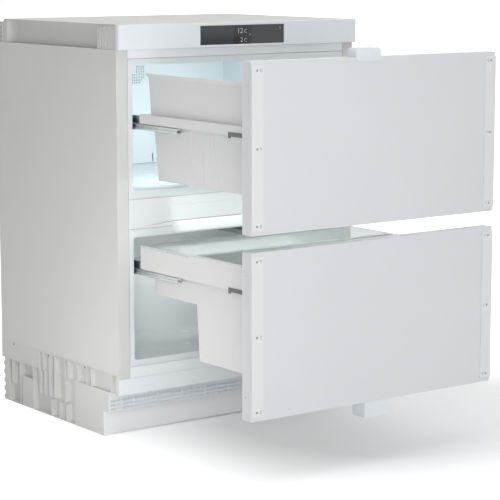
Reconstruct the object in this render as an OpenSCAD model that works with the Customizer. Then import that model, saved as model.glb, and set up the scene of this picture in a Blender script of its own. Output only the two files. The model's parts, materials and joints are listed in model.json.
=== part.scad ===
// Undercounter refrigerator with two pull-out drawers, drawn with both drawers open.
// Millimetres. X runs across the width, Y to the back, Z up from the floor.
// Shapes are laid out from the cabinet's front face (y = 0) and centred at the end.

/* [Cabinet] */
// Width over the side panels
cabinet_w = 595; // [560:1:700]
// Depth from the front face to the rear panel
cabinet_d = 480; // [470:1:520]
// Height from the floor to the top plate
overall_h = 835; // [820:1:870]
// Height of the control fascia at the top
fascia_h = 49.4; // [44:0.2:60]
// Height of the top edge of the base, where the front frame ends
base_h = 95; // [90:1:110]
// Height of the ribbed skirts under the side panels
skirt_h = 40; // [30:1:60]
// Thickness of the steel sheet
sheet_t = 1.2; // [0.8:0.1:1.5]
// Width of the side panels' folded front flange
side_flange_w = 26.1; // [24:0.1:27]
// Visible seam between neighbouring frame pieces
seam = 0.8; // [0.4:0.1:1.5]

/* [Compartments] */
// Width of both openings
opening_w = 520; // [480:1:522]
// Height of the frame above the upper opening
top_rail_h = 30.6; // [29:0.1:36]
// Height of the sill under the lower opening, above the base
lower_sill_h = 69; // [66:1:72]
// Height of the divider between the openings
divider_h = 93; // [90:1:96]
// Thickness of the insulation behind the compartments
rear_insulation_t = 44; // [40:1:60]
// Wall of the moulded liners
liner_t = 2.5; // [1.5:0.1:3]
// Corner radius of the openings
opening_r = 6; // [4:0.5:14]
// Depth of the machine room under the step of the lower compartment
room_d = 213; // [208:1:222]
// Thickness of the insulation in front of the machine room
room_wall_t = 37; // [30:1:45]
// Height of the step over the machine room, above the lower floor
hump_h = 128; // [120:1:132]
// Width of the liners' front flange above and below an opening
liner_flange_h = 12.6; // [8:0.1:15]

/* [Drawer fronts] */
// Width of the drawer fronts
front_w = 591.5; // [560:0.5:594]
// Thickness of the insulated drawer fronts
front_t = 27; // [22:0.5:32]
// How far each front reaches below its opening
front_lap = 35; // [31:0.5:38]
// Gap between the two fronts
front_gap = 31; // [24:0.5:34]
// Gap between the upper front and the fascia
fascia_gap = 2.1; // [1.5:0.1:4]
// Depth of the door seal
gasket_t = 12; // [10:0.5:14]
// Width of the door seal's section
gasket_w = 12; // [8:0.5:14]
// Distance of the door seal from the front's edge
gasket_inset = 8; // [5:0.5:10]
// Width of the vertical mounting strips on the fronts
strip_w = 26.4; // [24:0.1:34]
// Thickness of the mounting strips
strip_t = 1.5; // [1:0.1:3]
// Distance of the strips from the front's top and bottom
strip_end = 8; // [4:0.5:12]
// Distance of the outer fixing holes from the front's top and bottom
fixing_inset = 16.5; // [13:0.5:24]
// Radius of the holes for the furniture front's screws
fixing_r = 2.25; // [1.5:0.05:3]

/* [Drawers] */
// How far the drawers stand open, which is also their full travel
drawer_out = 404; // [396:1:410]
// Gap between the closed bins and the air duct's cover
bin_rear_gap = 34; // [28:1:40]
// Gap between the bins' skirts and the compartments' walls
skirt_gap = 4; // [3.5:0.1:5]
// Wall of the moulded bins
bin_t = 2.5; // [2:0.1:3]
// Gap between the upper bin's rim and the compartment's ceiling
upper_bin_gap = 15; // [12:1:24]
// How much lower than its sides the upper bin's rear wall is
rear_wall_drop = 36; // [20:1:60]
// Gap between the upper bin and the compartment floor
upper_bin_lift = 25; // [18:1:30]
// Gap between the lower bin's rim and the compartment's ceiling
lower_bin_gap = 13; // [10:1:20]
// Gap between the lower bin's shallow part and the step under it
shallow_bin_lift = 12; // [8:1:20]
// Gap between the lower bin and the compartment floor
lower_bin_lift = 29; // [24:1:31]
// Gap between the lower bin's deep part and the step behind it
deep_bin_gap = 8; // [6:1:20]
// Thickness of the glass lid on the lower bin
lid_t = 4; // [3:0.5:5]

/* [Rails] */
// Height of the upper rails' seat below the upper bin's rim
upper_rail_drop = 98; // [90:1:104]
// Height of the lower rails' seat below the lower bin's rim
lower_rail_drop = 48; // [46:1:52]
// Height of the upper bin's skirt over its rails
upper_skirt_h = 18; // [18:0.5:22]
// Gap between the fixed rails' ends and the air duct's cover
rail_rear_gap = 4; // [3:1:20]
// How much shorter than the fixed rails the middle rails are
middle_rail_less = 53; // [40:1:70]

/* [Top] */
// Thickness of the top plate
top_plate_t = 2.5; // [1.5:0.1:3]
// Distance of the top plate's sides from the cabinet's
plate_inset = 4.5; // [2:0.5:6]
// Distance of the top plate's rear edge from the cabinet's back
plate_rear_gap = 30.2; // [26:0.2:40]
// Depth of the recessed grip in the cabinet's sides
grip_recess = 13.5; // [10:0.5:14]
// Depth of the fascia from its front to its back
fascia_t = 10.8; // [9:0.1:11]
// How far the fascia stands in front of the cabinet
fascia_out = 12; // [11:0.5:14]
// Width of the display glass
display_w = 209.5; // [180:0.5:240]
// Height of the display glass
display_h = 38; // [30:0.5:40]

/* [Base] */
// How far the base stands back from the front face
toe_d = 60; // [50:1:66]
// How far the vent grille stands in front of the plinth
grille_out = 19; // [10:1:24]
// Depth of the relief on the base's side walls
wall_relief = 12; // [6:0.5:13]
// Height of the lip along the bottom of those walls
wall_toe = 1.5; // [1:0.5:3]
// Depth of the relief on the side skirts
skirt_relief = 9; // [5:0.5:10]
// Radius of the screw holes in the side skirts
skirt_hole_r = 2.5; // [1.5:0.25:3]
// Height of the base above the floor
ground_gap = 1; // [1:0.5:4]
// Height of the plinth panel
plinth_h = 51; // [46:0.5:53]
// Rows of slots in the vent grille
grille_rows = 3; // [1:1:3]
// Height of one slot in the vent grille
slot_h = 4.5; // [3:0.5:6]
// Length of one slot in the vent grille
slot_l = 26; // [12:1:30]

/* [Feet] */
// Radius of the feet's threaded stems
foot_stem_r = 5; // [4:0.5:6]
// Radius of the feet's pads
foot_pad_r = 15; // [12:0.5:18]
// How far the feet can be turned out
foot_travel = 35; // [20:1:38]

/* [Cooling] */
// Radius of the compressor's shell
compressor_r = 74; // [60:1:80]
// Height of the compressor's shell
compressor_h = 160; // [120:1:166]
// Radius of the condenser fan
condenser_fan_r = 34; // [28:1:35]
// Radius of the cabin fan
cabin_fan_r = 33; // [28:1:34]
// Blades on each fan
fan_blades = 7; // [5:1:9]
// Distance between the perforations of the air grille
grille_pitch = 6; // [5:0.5:9]
// Radius of one perforation
perforation_r = 1.75; // [1:0.25:2.25]

/* [Hidden] */
$fn = 48;

// Colours
WHITE = [0.87, 0.89, 0.91];
PALE = [0.80, 0.82, 0.82];
TOP_GREY = [0.82, 0.82, 0.79];
BASE_GREY = [0.78, 0.78, 0.77];
LINER = [0.84, 0.87, 0.88];
BIN = [0.86, 0.86, 0.86];
STEEL = [0.62, 0.66, 0.66];
DARK = [0.25, 0.27, 0.28];
BLACK = [0.07, 0.07, 0.08];
COPPER = [0.72, 0.45, 0.30];
FOAM = [0.93, 0.88, 0.70];

// Clearances
fit = 0.3;
touch = 0.2;
cut = 1;

// Cabinet
cab_x = cabinet_w / 2;
open_x = opening_w / 2;
carcass_top = overall_h - fascia_h;
side_z = base_h + skirt_h;
opening_h = (carcass_top - base_h - lower_sill_h - divider_h - top_rail_h) / 2;
seam_x = cab_x - side_flange_w - seam;
lower_z0 = base_h + lower_sill_h;
lower_z1 = lower_z0 + opening_h;
upper_z0 = lower_z1 + divider_h;
upper_z1 = upper_z0 + opening_h;
hump_z = lower_z0 + hump_h;
panel_rear_w = 17.5;
skirt_w = 12.5;
skirt_x = cab_x - skirt_w;
face_back = liner_t + touch;

// Machine room under the step of the lower liner
room_y = cabinet_d - room_d;
room_roof_t = 42;
room_z = hump_z - room_roof_t;
floor_d = room_y - room_wall_t;
liner_d = cabinet_d - rear_insulation_t;
duct_d = 17;
duct_y = liner_d - duct_d;

// Frame between and around the openings
liner_top_seam = upper_z1 + liner_flange_h;
divider_z0 = lower_z1 + liner_flange_h + 4;
divider_z1 = upper_z0 - liner_flange_h - 4;
bottom_seam = lower_z0 - liner_flange_h;
sill_face_z = side_z - 7;
lamp_x = 167;
lamp_h = 23;
lamp_t = 1.5;
lamp_z0 = lower_z1 + 3;
recess_x = 169;
recess_h = 31.5;
recess_z0 = lamp_z0 + lamp_h + 0.5;
recess_t = 1.2;

// Drawer fronts, at the closed position: the seal reaches the frame at y = 0
front_x = front_w / 2;
front_back = -gasket_t;
front_face = front_back - front_t;
upper_front_z1 = carcass_top - fascia_gap;
upper_front_z0 = upper_z0 - front_lap;
lower_front_z1 = upper_front_z0 - front_gap;
lower_front_z0 = lower_z0 - front_lap;
front_inner_t = 1.5;
front_edge_r = 3;
strip_x1 = front_x - 0.4;
strip_x0 = strip_x1 - strip_w;
fixing_x = strip_x1 - 12.4;
screw_x = fixing_x - 8;
screw_r = 1.5;
screw_head_r = 3.5;
screw_head_t = 0.9;
screw_gap = 0.1;
edge_hole_inset = 44;
edge_hole_y = front_face + 17;
pilot_d = 10;

// Bins
bin_front = front_back;
bin_back = duct_y - bin_rear_gap;
skirt_ox = open_x - skirt_gap;
skirt_lip = 2;
bin_wall_x = skirt_ox - 14.5;
upper_wall_x = skirt_ox - 12;
skirt_ix = skirt_ox - skirt_lip;
hollow_back = bin_back - 2;
upper_bin_z0 = upper_z0 + upper_bin_lift;
upper_rim = upper_z1 - upper_bin_gap;
lower_bin_z0 = lower_z0 + lower_bin_lift;
lower_rim = lower_z1 - lower_bin_gap;
shallow_z0 = hump_z + shallow_bin_lift;
bin_draft = 5.5;
bin_rear_step = 22;
bin_wall_back = bin_back - bin_rear_step;
bin_r = 8;
bin_rib_w = 2;
bin_rib_t = 1.2;
rim_h = 8;
lower_rim_t = 10;
upper_seat = upper_rim - upper_rail_drop;
lower_seat = lower_rim - lower_rail_drop;
deep_back = floor_d - deep_bin_gap;
bin_ribs = [for (d = [234, 196, 156]) bin_back - d];

// Rails: sizes of the section, from the compartment wall inwards
rail_t = 1.5;
rail_w = 17;
rail_down = 14;
rail_up = 10;
rail_y = 5;
fixed_rail_l = duct_y - rail_rear_gap - rail_y;
middle_rail_l = fixed_rail_l - middle_rail_less;
drawer_rail_y = bin_front + 2;
drawer_rail_l = bin_back - 5 - drawer_rail_y;
box_w = 10;
box_h = 11.2;
box_s = 4;
stem_w = 4;
hood_wall = 1.2;
hood_top = 16;
middle_y = rail_y + middle_rail_less - 5;
clip_l = 97;
clip_rise = 5.5;
clip_drop = 2.5;
clip_t = 1.2;
clip_hook = [8, 3];

// Top frame
beam_t = 3;
beam_x = cab_x - grip_recess;
plate_z = overall_h - top_plate_t;
fascia_x = cab_x + 1;
fascia_y = -fascia_out;
fascia_back = fascia_y + fascia_t;
fascia_wall = 2.5;
plate_back = cabinet_d - plate_rear_gap;
plate_x = cab_x - plate_inset;
grip_front = 72;
grip_curve_r = 40;
block_w = 33;
front_block_x = cab_x - block_w + 2;
rear_block_out = 5;
rear_y = cabinet_d + rear_block_out;
display_t = 1.5;
display_z = carcass_top + 5;
glass_x = 0.7;
worktop_hole_x = plate_x - 22.5;
worktop_hole_y = 25;
worktop_hole_r = 2.5;

// Base
base_x = cab_x - 1.5;
wall_x = base_x - wall_relief;
wall_t = 3;
wall_y = toe_d + 4;
base_back = cabinet_d - 9;
floor_t = 3;
foot_pad_t = 5;
foot_nut_z = foot_pad_t + 1;
floor_z = foot_nut_z + 1 + floor_t;
plinth_t = 3.7;
plinth_end_w = 23;
plinth_notch = 2.5;
plinth_z1 = ground_gap + plinth_h;
grille_t = 2;
grille_y = toe_d - grille_out;
boss_r = 9;
boss_h = 30;
foot_x = cab_x - 32.5;
foot_front_y = toe_d + 26;
foot_rear_y = cabinet_d - 40;
stem_l = boss_h + foot_travel + 1;
thread_gap = 0.05;

// Cooling parts
comp_pos = [95, cabinet_d - 105];
mount_span = 58;
mount_h = 14;
mount_r = 11;
comp_plate_t = 3;
comp_wall = 8;
comp_z = floor_z + mount_h + comp_plate_t;
tray_z = comp_z + compressor_h + fit;
cond_x0 = -250;
cond_x1 = -70;
cond_y0 = toe_d + 30;
cond_y1 = cond_y0 + 110;
cond_z1 = base_h - 7;
fan_x = -155;
shroud_y = cond_y1 + 12;
shroud_w = 80;
shroud_t = 20;
fan_z = floor_z + shroud_w / 2;
fan_pin_r = 2.5;
pin_gap = 0.05;
pipe_r = 3;
fin_t = 2;
fin_pitch = 9.8;
tray_w = 124;
tray_h = 16;
tray_t = 2;
inlet_w = 48;
inlet_d = 42;
inlet_h = 38;

// Cold air
duct_t = 2.5;
duct_gap = 0.5;
grille_r = 37;
grille_x = 10;
grille_z = upper_z1 - 38;
grille_hub_r = 7;
cabin_pin_r = 2;
sensor_slot_x = 62;
sensor_slot_w = 3;
sensor_slot_h = 18;
evaporator_x = 180;
evaporator_h = 114;
evaporator_lift = 26;

// The box over everything runs from the strips of the open fronts to the rear blocks
front_most = front_face - strip_t - drawer_out;
mid_y = (front_most + rear_y) / 2;

module place() translate([0, -mid_y, 0]) children();

module drawer_open() translate([0, -drawer_out, 0]) children();

module both_sides() {
    children();
    mirror([1, 0, 0]) children();
}

// A box from its low and high faces on each axis
module box(x, y, z) translate([x[0], y[0], z[0]]) cube([x[1] - x[0], y[1] - y[0], z[1] - z[0]]);

// A flat shape in X and Z, thickened from y0 to y1
module along_y(y0, y1) translate([0, y1, 0]) rotate([90, 0, 0]) linear_extrude(y1 - y0) children();

module round_rect(x, z, r) {
    translate([x[0] + r, z[0]]) square([x[1] - x[0] - 2 * r, z[1] - z[0]]);
    translate([x[0], z[0] + r]) square([x[1] - x[0], z[1] - z[0] - 2 * r]);
    for (cx = [x[0] + r, x[1] - r], cz = [z[0] + r, z[1] - r]) translate([cx, cz]) circle(r);
}

module y_hole(x, z, r, y) translate([x, y[0], z]) rotate([-90, 0, 0]) cylinder(r = r, h = y[1] - y[0]);

// ---- Cabinet -------------------------------------------------------------------

module side_panel() {
    box([-cab_x, -cab_x + sheet_t], [0, cabinet_d], [side_z, carcass_top]);
    box([-cab_x, -cab_x + side_flange_w], [0, sheet_t], [sill_face_z + seam, carcass_top]);
    box([-cab_x, -beam_x + 0.4], [0, cabinet_d], [carcass_top - sheet_t, carcass_top]);
    box([-cab_x, -cab_x + panel_rear_w], [cabinet_d - sheet_t, cabinet_d], [side_z, carcass_top]);
}

module left_side_panel() color(WHITE) place() side_panel();

module right_side_panel() color(WHITE) place() mirror([1, 0, 0]) side_panel();

module rear_panel() color(PALE) place() {
    rear_x = cab_x - panel_rear_w - touch;
    box([-rear_x, rear_x], [cabinet_d - sheet_t, cabinet_d], [room_z, carcass_top - sheet_t]);
}

// The sheet under the insulation, stepped over the machine room
module bottom_shell() color(STEEL) place() {
    narrow = skirt_x - fit;
    wide = cab_x - sheet_t - fit;
    box([-narrow, narrow], [face_back, room_y], [base_h, base_h + sheet_t]);
    box([-narrow, narrow], [room_y - sheet_t, room_y], [base_h, side_z + fit]);
    box([-wide, wide], [room_y - sheet_t, room_y], [side_z + fit, room_z]);
    box([-wide, wide], [room_y - sheet_t, cabinet_d - sheet_t - touch], [room_z - sheet_t, room_z]);
}

// Sheet rails above and below the openings, with the seams of the real frame
module cross_rails() color(WHITE) place() {
    box([-seam_x, seam_x], [0, sheet_t], [liner_top_seam + seam, carcass_top]);
    box([-cab_x, cab_x], [0, sheet_t], [base_h, sill_face_z]);
    box([-seam_x, seam_x], [0, sheet_t], [sill_face_z + seam, bottom_seam - seam]);
    box([-seam_x, seam_x], [sheet_t, 2 * sheet_t], [base_h + sheet_t + 4, bottom_seam - seam - 1]);
}

module lamp_pocket(gap) {
    box([-lamp_x - gap, lamp_x + gap], [-cut, lamp_t], [lamp_z0 - gap, lamp_z0 + lamp_h + gap]);
}

module divider_cover() color(WHITE) place() difference() {
    box([-seam_x, seam_x], [0, liner_t], [divider_z0 + seam / 2, divider_z1 - seam / 2]);
    box([-recess_x, recess_x], [-cut, recess_t], [recess_z0, recess_z0 + recess_h]);
    lamp_pocket(touch);
}

module upper_cavity(grow, y0, y1) along_y(y0, y1)
    round_rect([-open_x - grow, open_x + grow], [upper_z0 - grow, upper_z1 + grow], opening_r + grow);

module lower_cavity(grow, y0, y1) {
    along_y(y0, floor_d + grow)
        round_rect([-open_x - grow, open_x + grow], [lower_z0 - grow, lower_z1 + grow], opening_r + grow);
    along_y(y0, y1)
        round_rect([-open_x - grow, open_x + grow], [hump_z - grow, lower_z1 + grow], opening_r + grow);
}

module upper_liner() color(LINER) place() difference() {
    union() {
        box([-seam_x, seam_x], [0, liner_t], [divider_z1 + seam / 2, liner_top_seam]);
        upper_cavity(liner_t, 0, liner_d + liner_t);
    }
    upper_cavity(0, -cut, liner_d);
}

module lower_liner() color(LINER) place() difference() {
    union() {
        box([-seam_x, seam_x], [0, liner_t], [bottom_seam, divider_z0 - seam / 2]);
        lower_cavity(liner_t, 0, liner_d + liner_t);
    }
    lower_cavity(0, -cut, liner_d);
    lamp_pocket(touch);
}

// Rigid foam between the outer sheets and the liners
module foam_insulation() color(FOAM) place() difference() {
    union() {
        wide = cab_x - sheet_t - touch;
        narrow = skirt_x - fit - touch;
        top_x = front_block_x - fit;
        back = cabinet_d - sheet_t - touch;
        box([-wide, wide], [face_back, back], [side_z + 2 * fit, carcass_top - sheet_t - touch]);
        box([-narrow, narrow], [face_back, room_y], [base_h + sheet_t + touch, side_z + 1]);
        box([-top_x, top_x], [face_back, plate_back - beam_t - touch],
            [carcass_top - 3, plate_z - touch]);
    }
    box([-cab_x, cab_x], [room_y - sheet_t - touch, cabinet_d], [0, room_z + touch]);
    upper_cavity(liner_t + touch, -cut, liner_d + liner_t + touch);
    lower_cavity(liner_t + touch, -cut, liner_d + liner_t + touch);
}

// ---- Top ------------------------------------------------------------------------

module fascia() color(WHITE) place() difference() {
    r = 3;
    z0 = carcass_top + fit;
    union() {
        box([-fascia_x, fascia_x], [fascia_y + r, fascia_back], [z0, overall_h]);
        box([-fascia_x + r, fascia_x - r], [fascia_y, fascia_back], [z0, overall_h]);
        for (x = [-fascia_x + r, fascia_x - r])
            translate([x, fascia_y + r, z0]) cylinder(r = r, h = overall_h - z0);
    }
    inner_x = fascia_x - fascia_wall;
    box([-inner_x, inner_x], [fascia_y + fascia_wall, fascia_back + cut],
        [z0 + fascia_wall, overall_h - fascia_wall]);
    display_box(touch, -cut);
}

module display_box(gap, proud) box(
    [glass_x - display_w / 2 - gap, glass_x + display_w / 2 + gap],
    [fascia_y + proud, fascia_y + display_t],
    [display_z - gap, display_z + display_h + gap]);

module display_glass() color(DARK) place() display_box(0, 0);

module control_board() color([0.12, 0.36, 0.22]) place() {
    back = fascia_y + fascia_wall;
    board_x = 90;
    z0 = display_z + 2;
    z1 = display_z + display_h - 4;
    box([-board_x, board_x], [back + 2.5, back + 4.1], [z0, z1]);
    for (x = [-board_x + 5, board_x - 5], z = [z0 + 5, z1 - 5]) y_hole(x, z, 2, [back, back + 2.5]);
    for (x = [-60 : 30 : 60]) box([x, x + 14], [back + 4.1, back + 6.5], [z0 + 8, z0 + 20]);
}

module top_plate() color(TOP_GREY) place() difference() {
    box([-plate_x, plate_x], [fascia_back, plate_back], [plate_z, overall_h]);
    for (x = [-worktop_hole_x, worktop_hole_x])
        translate([x, worktop_hole_y, plate_z - cut])
            cylinder(r = worktop_hole_r, h = top_plate_t + 2 * cut);
}

// Side walls of the grip recess, curving outwards at the rear, and the rear wall
module top_beams() color(TOP_GREY) place() {
    grip_back = plate_back - 1;
    curve_y = grip_back - 44;
    both_sides() difference() {
        union() {
            box([-beam_x, -beam_x + beam_t], [grip_front + fit, grip_back], [carcass_top, plate_z]);
            box([-cab_x + 1.5, -beam_x], [curve_y, grip_back], [carcass_top, plate_z]);
        }
        translate([-beam_x - grip_curve_r, curve_y, carcass_top - cut])
            cylinder(r = grip_curve_r, h = plate_z - carcass_top + 2 * cut, $fn = 96);
    }
    inner = cab_x - 1 - block_w - fit;
    box([-inner, inner], [plate_back - beam_t, plate_back], [carcass_top, plate_z]);
    box([-inner, inner], [plate_back, cabinet_d], [carcass_top, carcass_top + 2]);
}

module corner_ribs(y0, count, pitch, z) {
    for (i = [0 : count - 1])
        box([-cab_x, -cab_x + 3], [y0 + i * pitch, y0 + i * pitch + pitch / 2], z);
}

module top_corner_blocks() color(TOP_GREY) place() both_sides() {
    z0 = carcass_top + touch;
    z1 = plate_z - touch;
    difference() {
        union() {
            box([-cab_x + 3, -front_block_x], [fascia_back, grip_front], [z0, z1]);
            box([-cab_x, -cab_x + 3], [fascia_back, 30], [z0, z1]);
            corner_ribs(36, 4, 9.5, [z0, z1 - 4]);
        }
        translate([-worktop_hole_x, worktop_hole_y, z1 - 20])
            cylinder(r = worktop_hole_r - 0.5, h = 20 + cut);
    }
    rear0 = plate_back + fit;
    box([-cab_x + 4, -cab_x + 1 + block_w], [rear0, rear_y], [z0, z1 - 4]);
    box([-cab_x, -cab_x + 4], [rear0, rear0 + 5], [z0, z1 - 4]);
    for (i = [0 : 3]) box([-cab_x, -cab_x + 4], [rear0 + 10, rear_y], [z0 + 4 + i * 10, z0 + 8 + i * 10]);
}

// ---- Base -----------------------------------------------------------------------

// Upright ribs of the side skirts: [front end, length] measured back from the front face
skirt_ribs = [
    [1.5, 10], [27, 3], [106, 3], [124, 3], [161, 4], [194, 8], [211, 4], [251, 5], [271, 8], [300, 4]
];
skirt_plain_y = 315;
skirt_edge_t = 2;
skirt_screws = [132, 279, cabinet_d - 53];

module base_skirts() color(BASE_GREY) place() both_sides() difference() {
    z0 = base_h + touch;
    z1 = side_z - fit;
    screw_z = z1 - skirt_hole_r - 1.5;
    face_x = -cab_x + skirt_relief;
    union() {
        box([face_x, -skirt_x], [sheet_t + fit, cabinet_d], [z0, z1]);
        box([-cab_x, face_x], [sheet_t + fit, cabinet_d], [z1 - skirt_edge_t, z1]);
        box([-cab_x, face_x], [skirt_plain_y, cabinet_d], [z0, z1]);
        for (r = skirt_ribs) box([-cab_x, face_x], [r[0], r[0] + r[1]], [z0, z1]);
        for (y = skirt_screws) box([-cab_x, face_x], [y - 5, y + 5], [screw_z - 4, z1]);
    }
    for (y = skirt_screws) translate([-cab_x - cut, y, screw_z]) rotate([0, 90, 0])
        cylinder(r = skirt_hole_r, h = skirt_relief + cut);
}

// Upright ribs of the base's side walls: [front end, length, low, high]; the first is
// measured forwards from the base's rear edge, the last two are tenths of the wall's height
wall_ribs = [
    [19, 19, 0, 10], [39, 8, 4.4, 10], [68, 3, 0, 10], [124, 48, 0, 7], [124, 3, 7, 10],
    [155, 5, 4.4, 10], [176, 6, 4.4, 10], [197, 7, 4.4, 10], [217, 6, 4.4, 10], [259, 5, 4.4, 10],
    [201, 4, 0, 3.8], [234, 4, 0, 3.8], [263, 5, 0, 3.8]
];
wall_plain_l = 295;
wall_teeth = 5;
// Blind holes in the walls' plain front part: behind its front edge, height, radius
wall_holes = [[12, 12, 2], [55, 7, 1.5], [113, 40, 2.5]];

module base_walls() color(BASE_GREY) place() both_sides() difference() {
    z0 = ground_gap;
    tenth = (base_h - ground_gap) / 10;
    ledge_z = plinth_z1 + fit;
    plain_back = base_back - wall_plain_l;
    union() {
        box([-wall_x, -wall_x + wall_t], [wall_y, base_back], [z0, base_h]);
        for (r = wall_ribs) box([-base_x, -wall_x], [base_back - r[0], base_back - r[0] + r[1]],
            [z0 + r[2] * tenth, z0 + r[3] * tenth]);
        box([-base_x, -wall_x], [wall_y, base_back], [z0, z0 + wall_toe]);
        box([-base_x, -wall_x], [wall_y, plain_back], [z0, base_h]);
        box([-base_x, -wall_x + wall_t], [grille_y + grille_t + fit, wall_y], [ledge_z, base_h]);
        for (i = [0 : wall_teeth - 1]) box([-base_x, -wall_x + wall_t], [base_back, base_back + 5],
            [z0 + i * 2 * tenth, z0 + (i * 2 + 1.1) * tenth]);
    }
    for (h = wall_holes) translate([-base_x - cut, wall_y + h[0], z0 + h[1]]) rotate([0, 90, 0])
        cylinder(r = h[2], h = wall_relief);
}

module at_feet() for (x = [-foot_x, foot_x], y = [foot_front_y, foot_rear_y])
    translate([x, y, 0]) children();

module base_floor() color(BASE_GREY) place() difference() {
    half = wall_x - wall_t - fit;
    union() {
        box([-half, half], [wall_y + fit, base_back], [floor_z - floor_t, floor_z]);
        at_feet() translate([0, 0, floor_z - floor_t]) cylinder(r = boss_r, h = boss_h + floor_t);
    }
    at_feet() cylinder(r = foot_stem_r + thread_gap, h = base_h);
}

// Front grille with rows of slots, each row with a sloping blade behind it
module vent_grille() color(WHITE) place() {
    z0 = plinth_z1 + fit;
    row_pitch = 8.4;
    row_z = z0 + 4.1;
    pitch = slot_l + 3.5;
    columns = floor(2 * base_x / pitch);
    blade_x = wall_x - wall_t - fit;
    blade_d = 7;
    blade_tilt = 55;
    difference() {
        box([-base_x, base_x], [grille_y, grille_y + grille_t], [z0, base_h - fit]);
        for (row = [0 : grille_rows - 1], i = [0 : columns - 1]) {
            x = (i - (columns - 1) / 2) * pitch;
            z = row_z + row * row_pitch;
            box([x - slot_l / 2, x + slot_l / 2], [grille_y - cut, grille_y + grille_t + cut],
                [z, z + slot_h]);
        }
    }
    box([-blade_x, blade_x], [grille_y + grille_t, wall_y], [z0, z0 + grille_t]);
    for (row = [0 : grille_rows - 1])
        translate([-blade_x, grille_y + grille_t - fit, row_z - 1 + row * row_pitch])
            rotate([blade_tilt, 0, 0]) cube([2 * blade_x, blade_d, 1.5]);
}

// Panel that stands on its two ends, with a narrow gap under the rest
module plinth_panel() color(WHITE) place() difference() {
    y = [wall_y - fit - plinth_t, wall_y - fit];
    notch_x = base_x - plinth_end_w;
    box([-base_x, base_x], y, [ground_gap, plinth_z1]);
    box([-notch_x, notch_x], y + [-cut, cut], [0, ground_gap + plinth_notch]);
}

module foot() color(DARK) {
    cylinder(r = foot_pad_r, h = foot_pad_t - 1);
    cylinder(r = foot_stem_r + 3, h = foot_nut_z, $fn = 6);
    cylinder(r = foot_stem_r, h = foot_pad_t + stem_l);
}

module foot_front_left() place() translate([-foot_x, foot_front_y, 0]) foot();

module foot_front_right() place() translate([foot_x, foot_front_y, 0]) foot();

module foot_rear_left() place() translate([-foot_x, foot_rear_y, 0]) foot();

module foot_rear_right() place() translate([foot_x, foot_rear_y, 0]) foot();

// ---- Machine room ----------------------------------------------------------------

module compressor() color(BLACK) place() translate([comp_pos[0], comp_pos[1], 0]) {
    r = compressor_r;
    h = compressor_h;
    dome = 30;
    span = mount_span + mount_r;
    box([-span, span], [-span, span], [comp_z - comp_plate_t, comp_z]);
    difference() {
        translate([0, 0, comp_z]) rotate_extrude($fn = 96) {
            square([r, h - dome]);
            square([r - dome, h]);
            translate([r - dome, h - dome]) circle(dome);
            translate([0, h / 2]) square([r + 3, 5]);
        }
        translate([0, 0, comp_z + comp_wall]) cylinder(r = r - comp_wall, h = h - dome - comp_wall);
    }
    box([r - 2, r + 24], [-24, 24], [comp_z + 45, comp_z + 105]);
}

module compressor_mounts() color(DARK) place() translate([comp_pos[0], comp_pos[1], floor_z])
    for (x = [-mount_span, mount_span], y = [-mount_span, mount_span]) translate([x, y, 0]) {
        cylinder(r = mount_r, h = mount_h / 2 - 1);
        cylinder(r = mount_r - 3, h = mount_h);
        translate([0, 0, mount_h / 2 + 1]) cylinder(r = mount_r, h = mount_h / 2 - 1);
    }

module drip_tray() color(PALE) place() translate([comp_pos[0], comp_pos[1], tray_z]) difference() {
    half = tray_w / 2;
    inner = half - tray_t;
    box([-half, half], [-half, half], [0, tray_h]);
    box([-inner, inner], [-inner, inner], [tray_t, tray_h + cut]);
}

module condenser() color(BLACK) place() {
    tube_inset = 6 * pipe_r;
    tube_pitch = 9 * pipe_r;
    for (x = [cond_x0 : fin_pitch : cond_x1]) box([x, x + fin_t], [cond_y0, cond_y1], [floor_z, cond_z1]);
    tube_y = [cond_y0 + 5 * pipe_r : tube_pitch : cond_y1 - 3 * pipe_r];
    for (y = tube_y, z = [floor_z + tube_inset, cond_z1 - tube_inset])
        translate([cond_x0, y, z]) rotate([0, 90, 0]) cylinder(r = pipe_r, h = cond_x1 - cond_x0);
}

module blades(r_hub, r_tip, depth) {
    root = r_hub - 2;
    for (i = [0 : fan_blades - 1]) rotate([0, i * 360 / fan_blades, 0])
        translate([0, 0, (root + r_tip) / 2]) rotate([0, 0, 32])
            cube([depth * 1.2, 1.4, r_tip - root], center = true);
}

module fan_rotor(r_hub, r_tip, depth, bore) difference() {
    union() {
        translate([0, depth / 2, 0]) rotate([90, 0, 0]) cylinder(r = r_hub, h = depth);
        blades(r_hub, r_tip, depth);
    }
    translate([0, depth, 0]) rotate([90, 0, 0]) cylinder(r = bore, h = 2 * depth);
}

module fan_shroud() color(DARK) place() {
    half = shroud_w / 2;
    back = shroud_y + shroud_t;
    difference() {
        box([fan_x - half, fan_x + half], [shroud_y, back], [fan_z - half, fan_z + half]);
        y_hole(fan_x, fan_z, condenser_fan_r + 2, [shroud_y - cut, back + cut]);
    }
    y_hole(fan_x, fan_z, 10, [back - 4, back]);
    for (a = [0, 120, 240]) translate([fan_x, back - 2, fan_z]) rotate([0, a, 0])
        translate([-2, -1.5, 7]) cube([4, 3, condenser_fan_r - 4]);
    y_hole(fan_x, fan_z, fan_pin_r, [shroud_y + 2, back - 4 + touch]);
}

module condenser_fan() color(BLACK) place()
    translate([fan_x, shroud_y + 9, fan_z]) fan_rotor(12, condenser_fan_r, 9, fan_pin_r + pin_gap);

module pipe_run(points) {
    for (i = [0 : len(points) - 2]) {
        d = points[i + 1] - points[i];
        translate(points[i]) rotate([0, acos(d[2] / norm(d)), atan2(d[1], d[0])])
            cylinder(r = pipe_r, h = norm(d));
    }
    for (i = [1 : len(points) - 2]) translate(points[i]) sphere(r = pipe_r * 1.15, $fn = 24);
}

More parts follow.
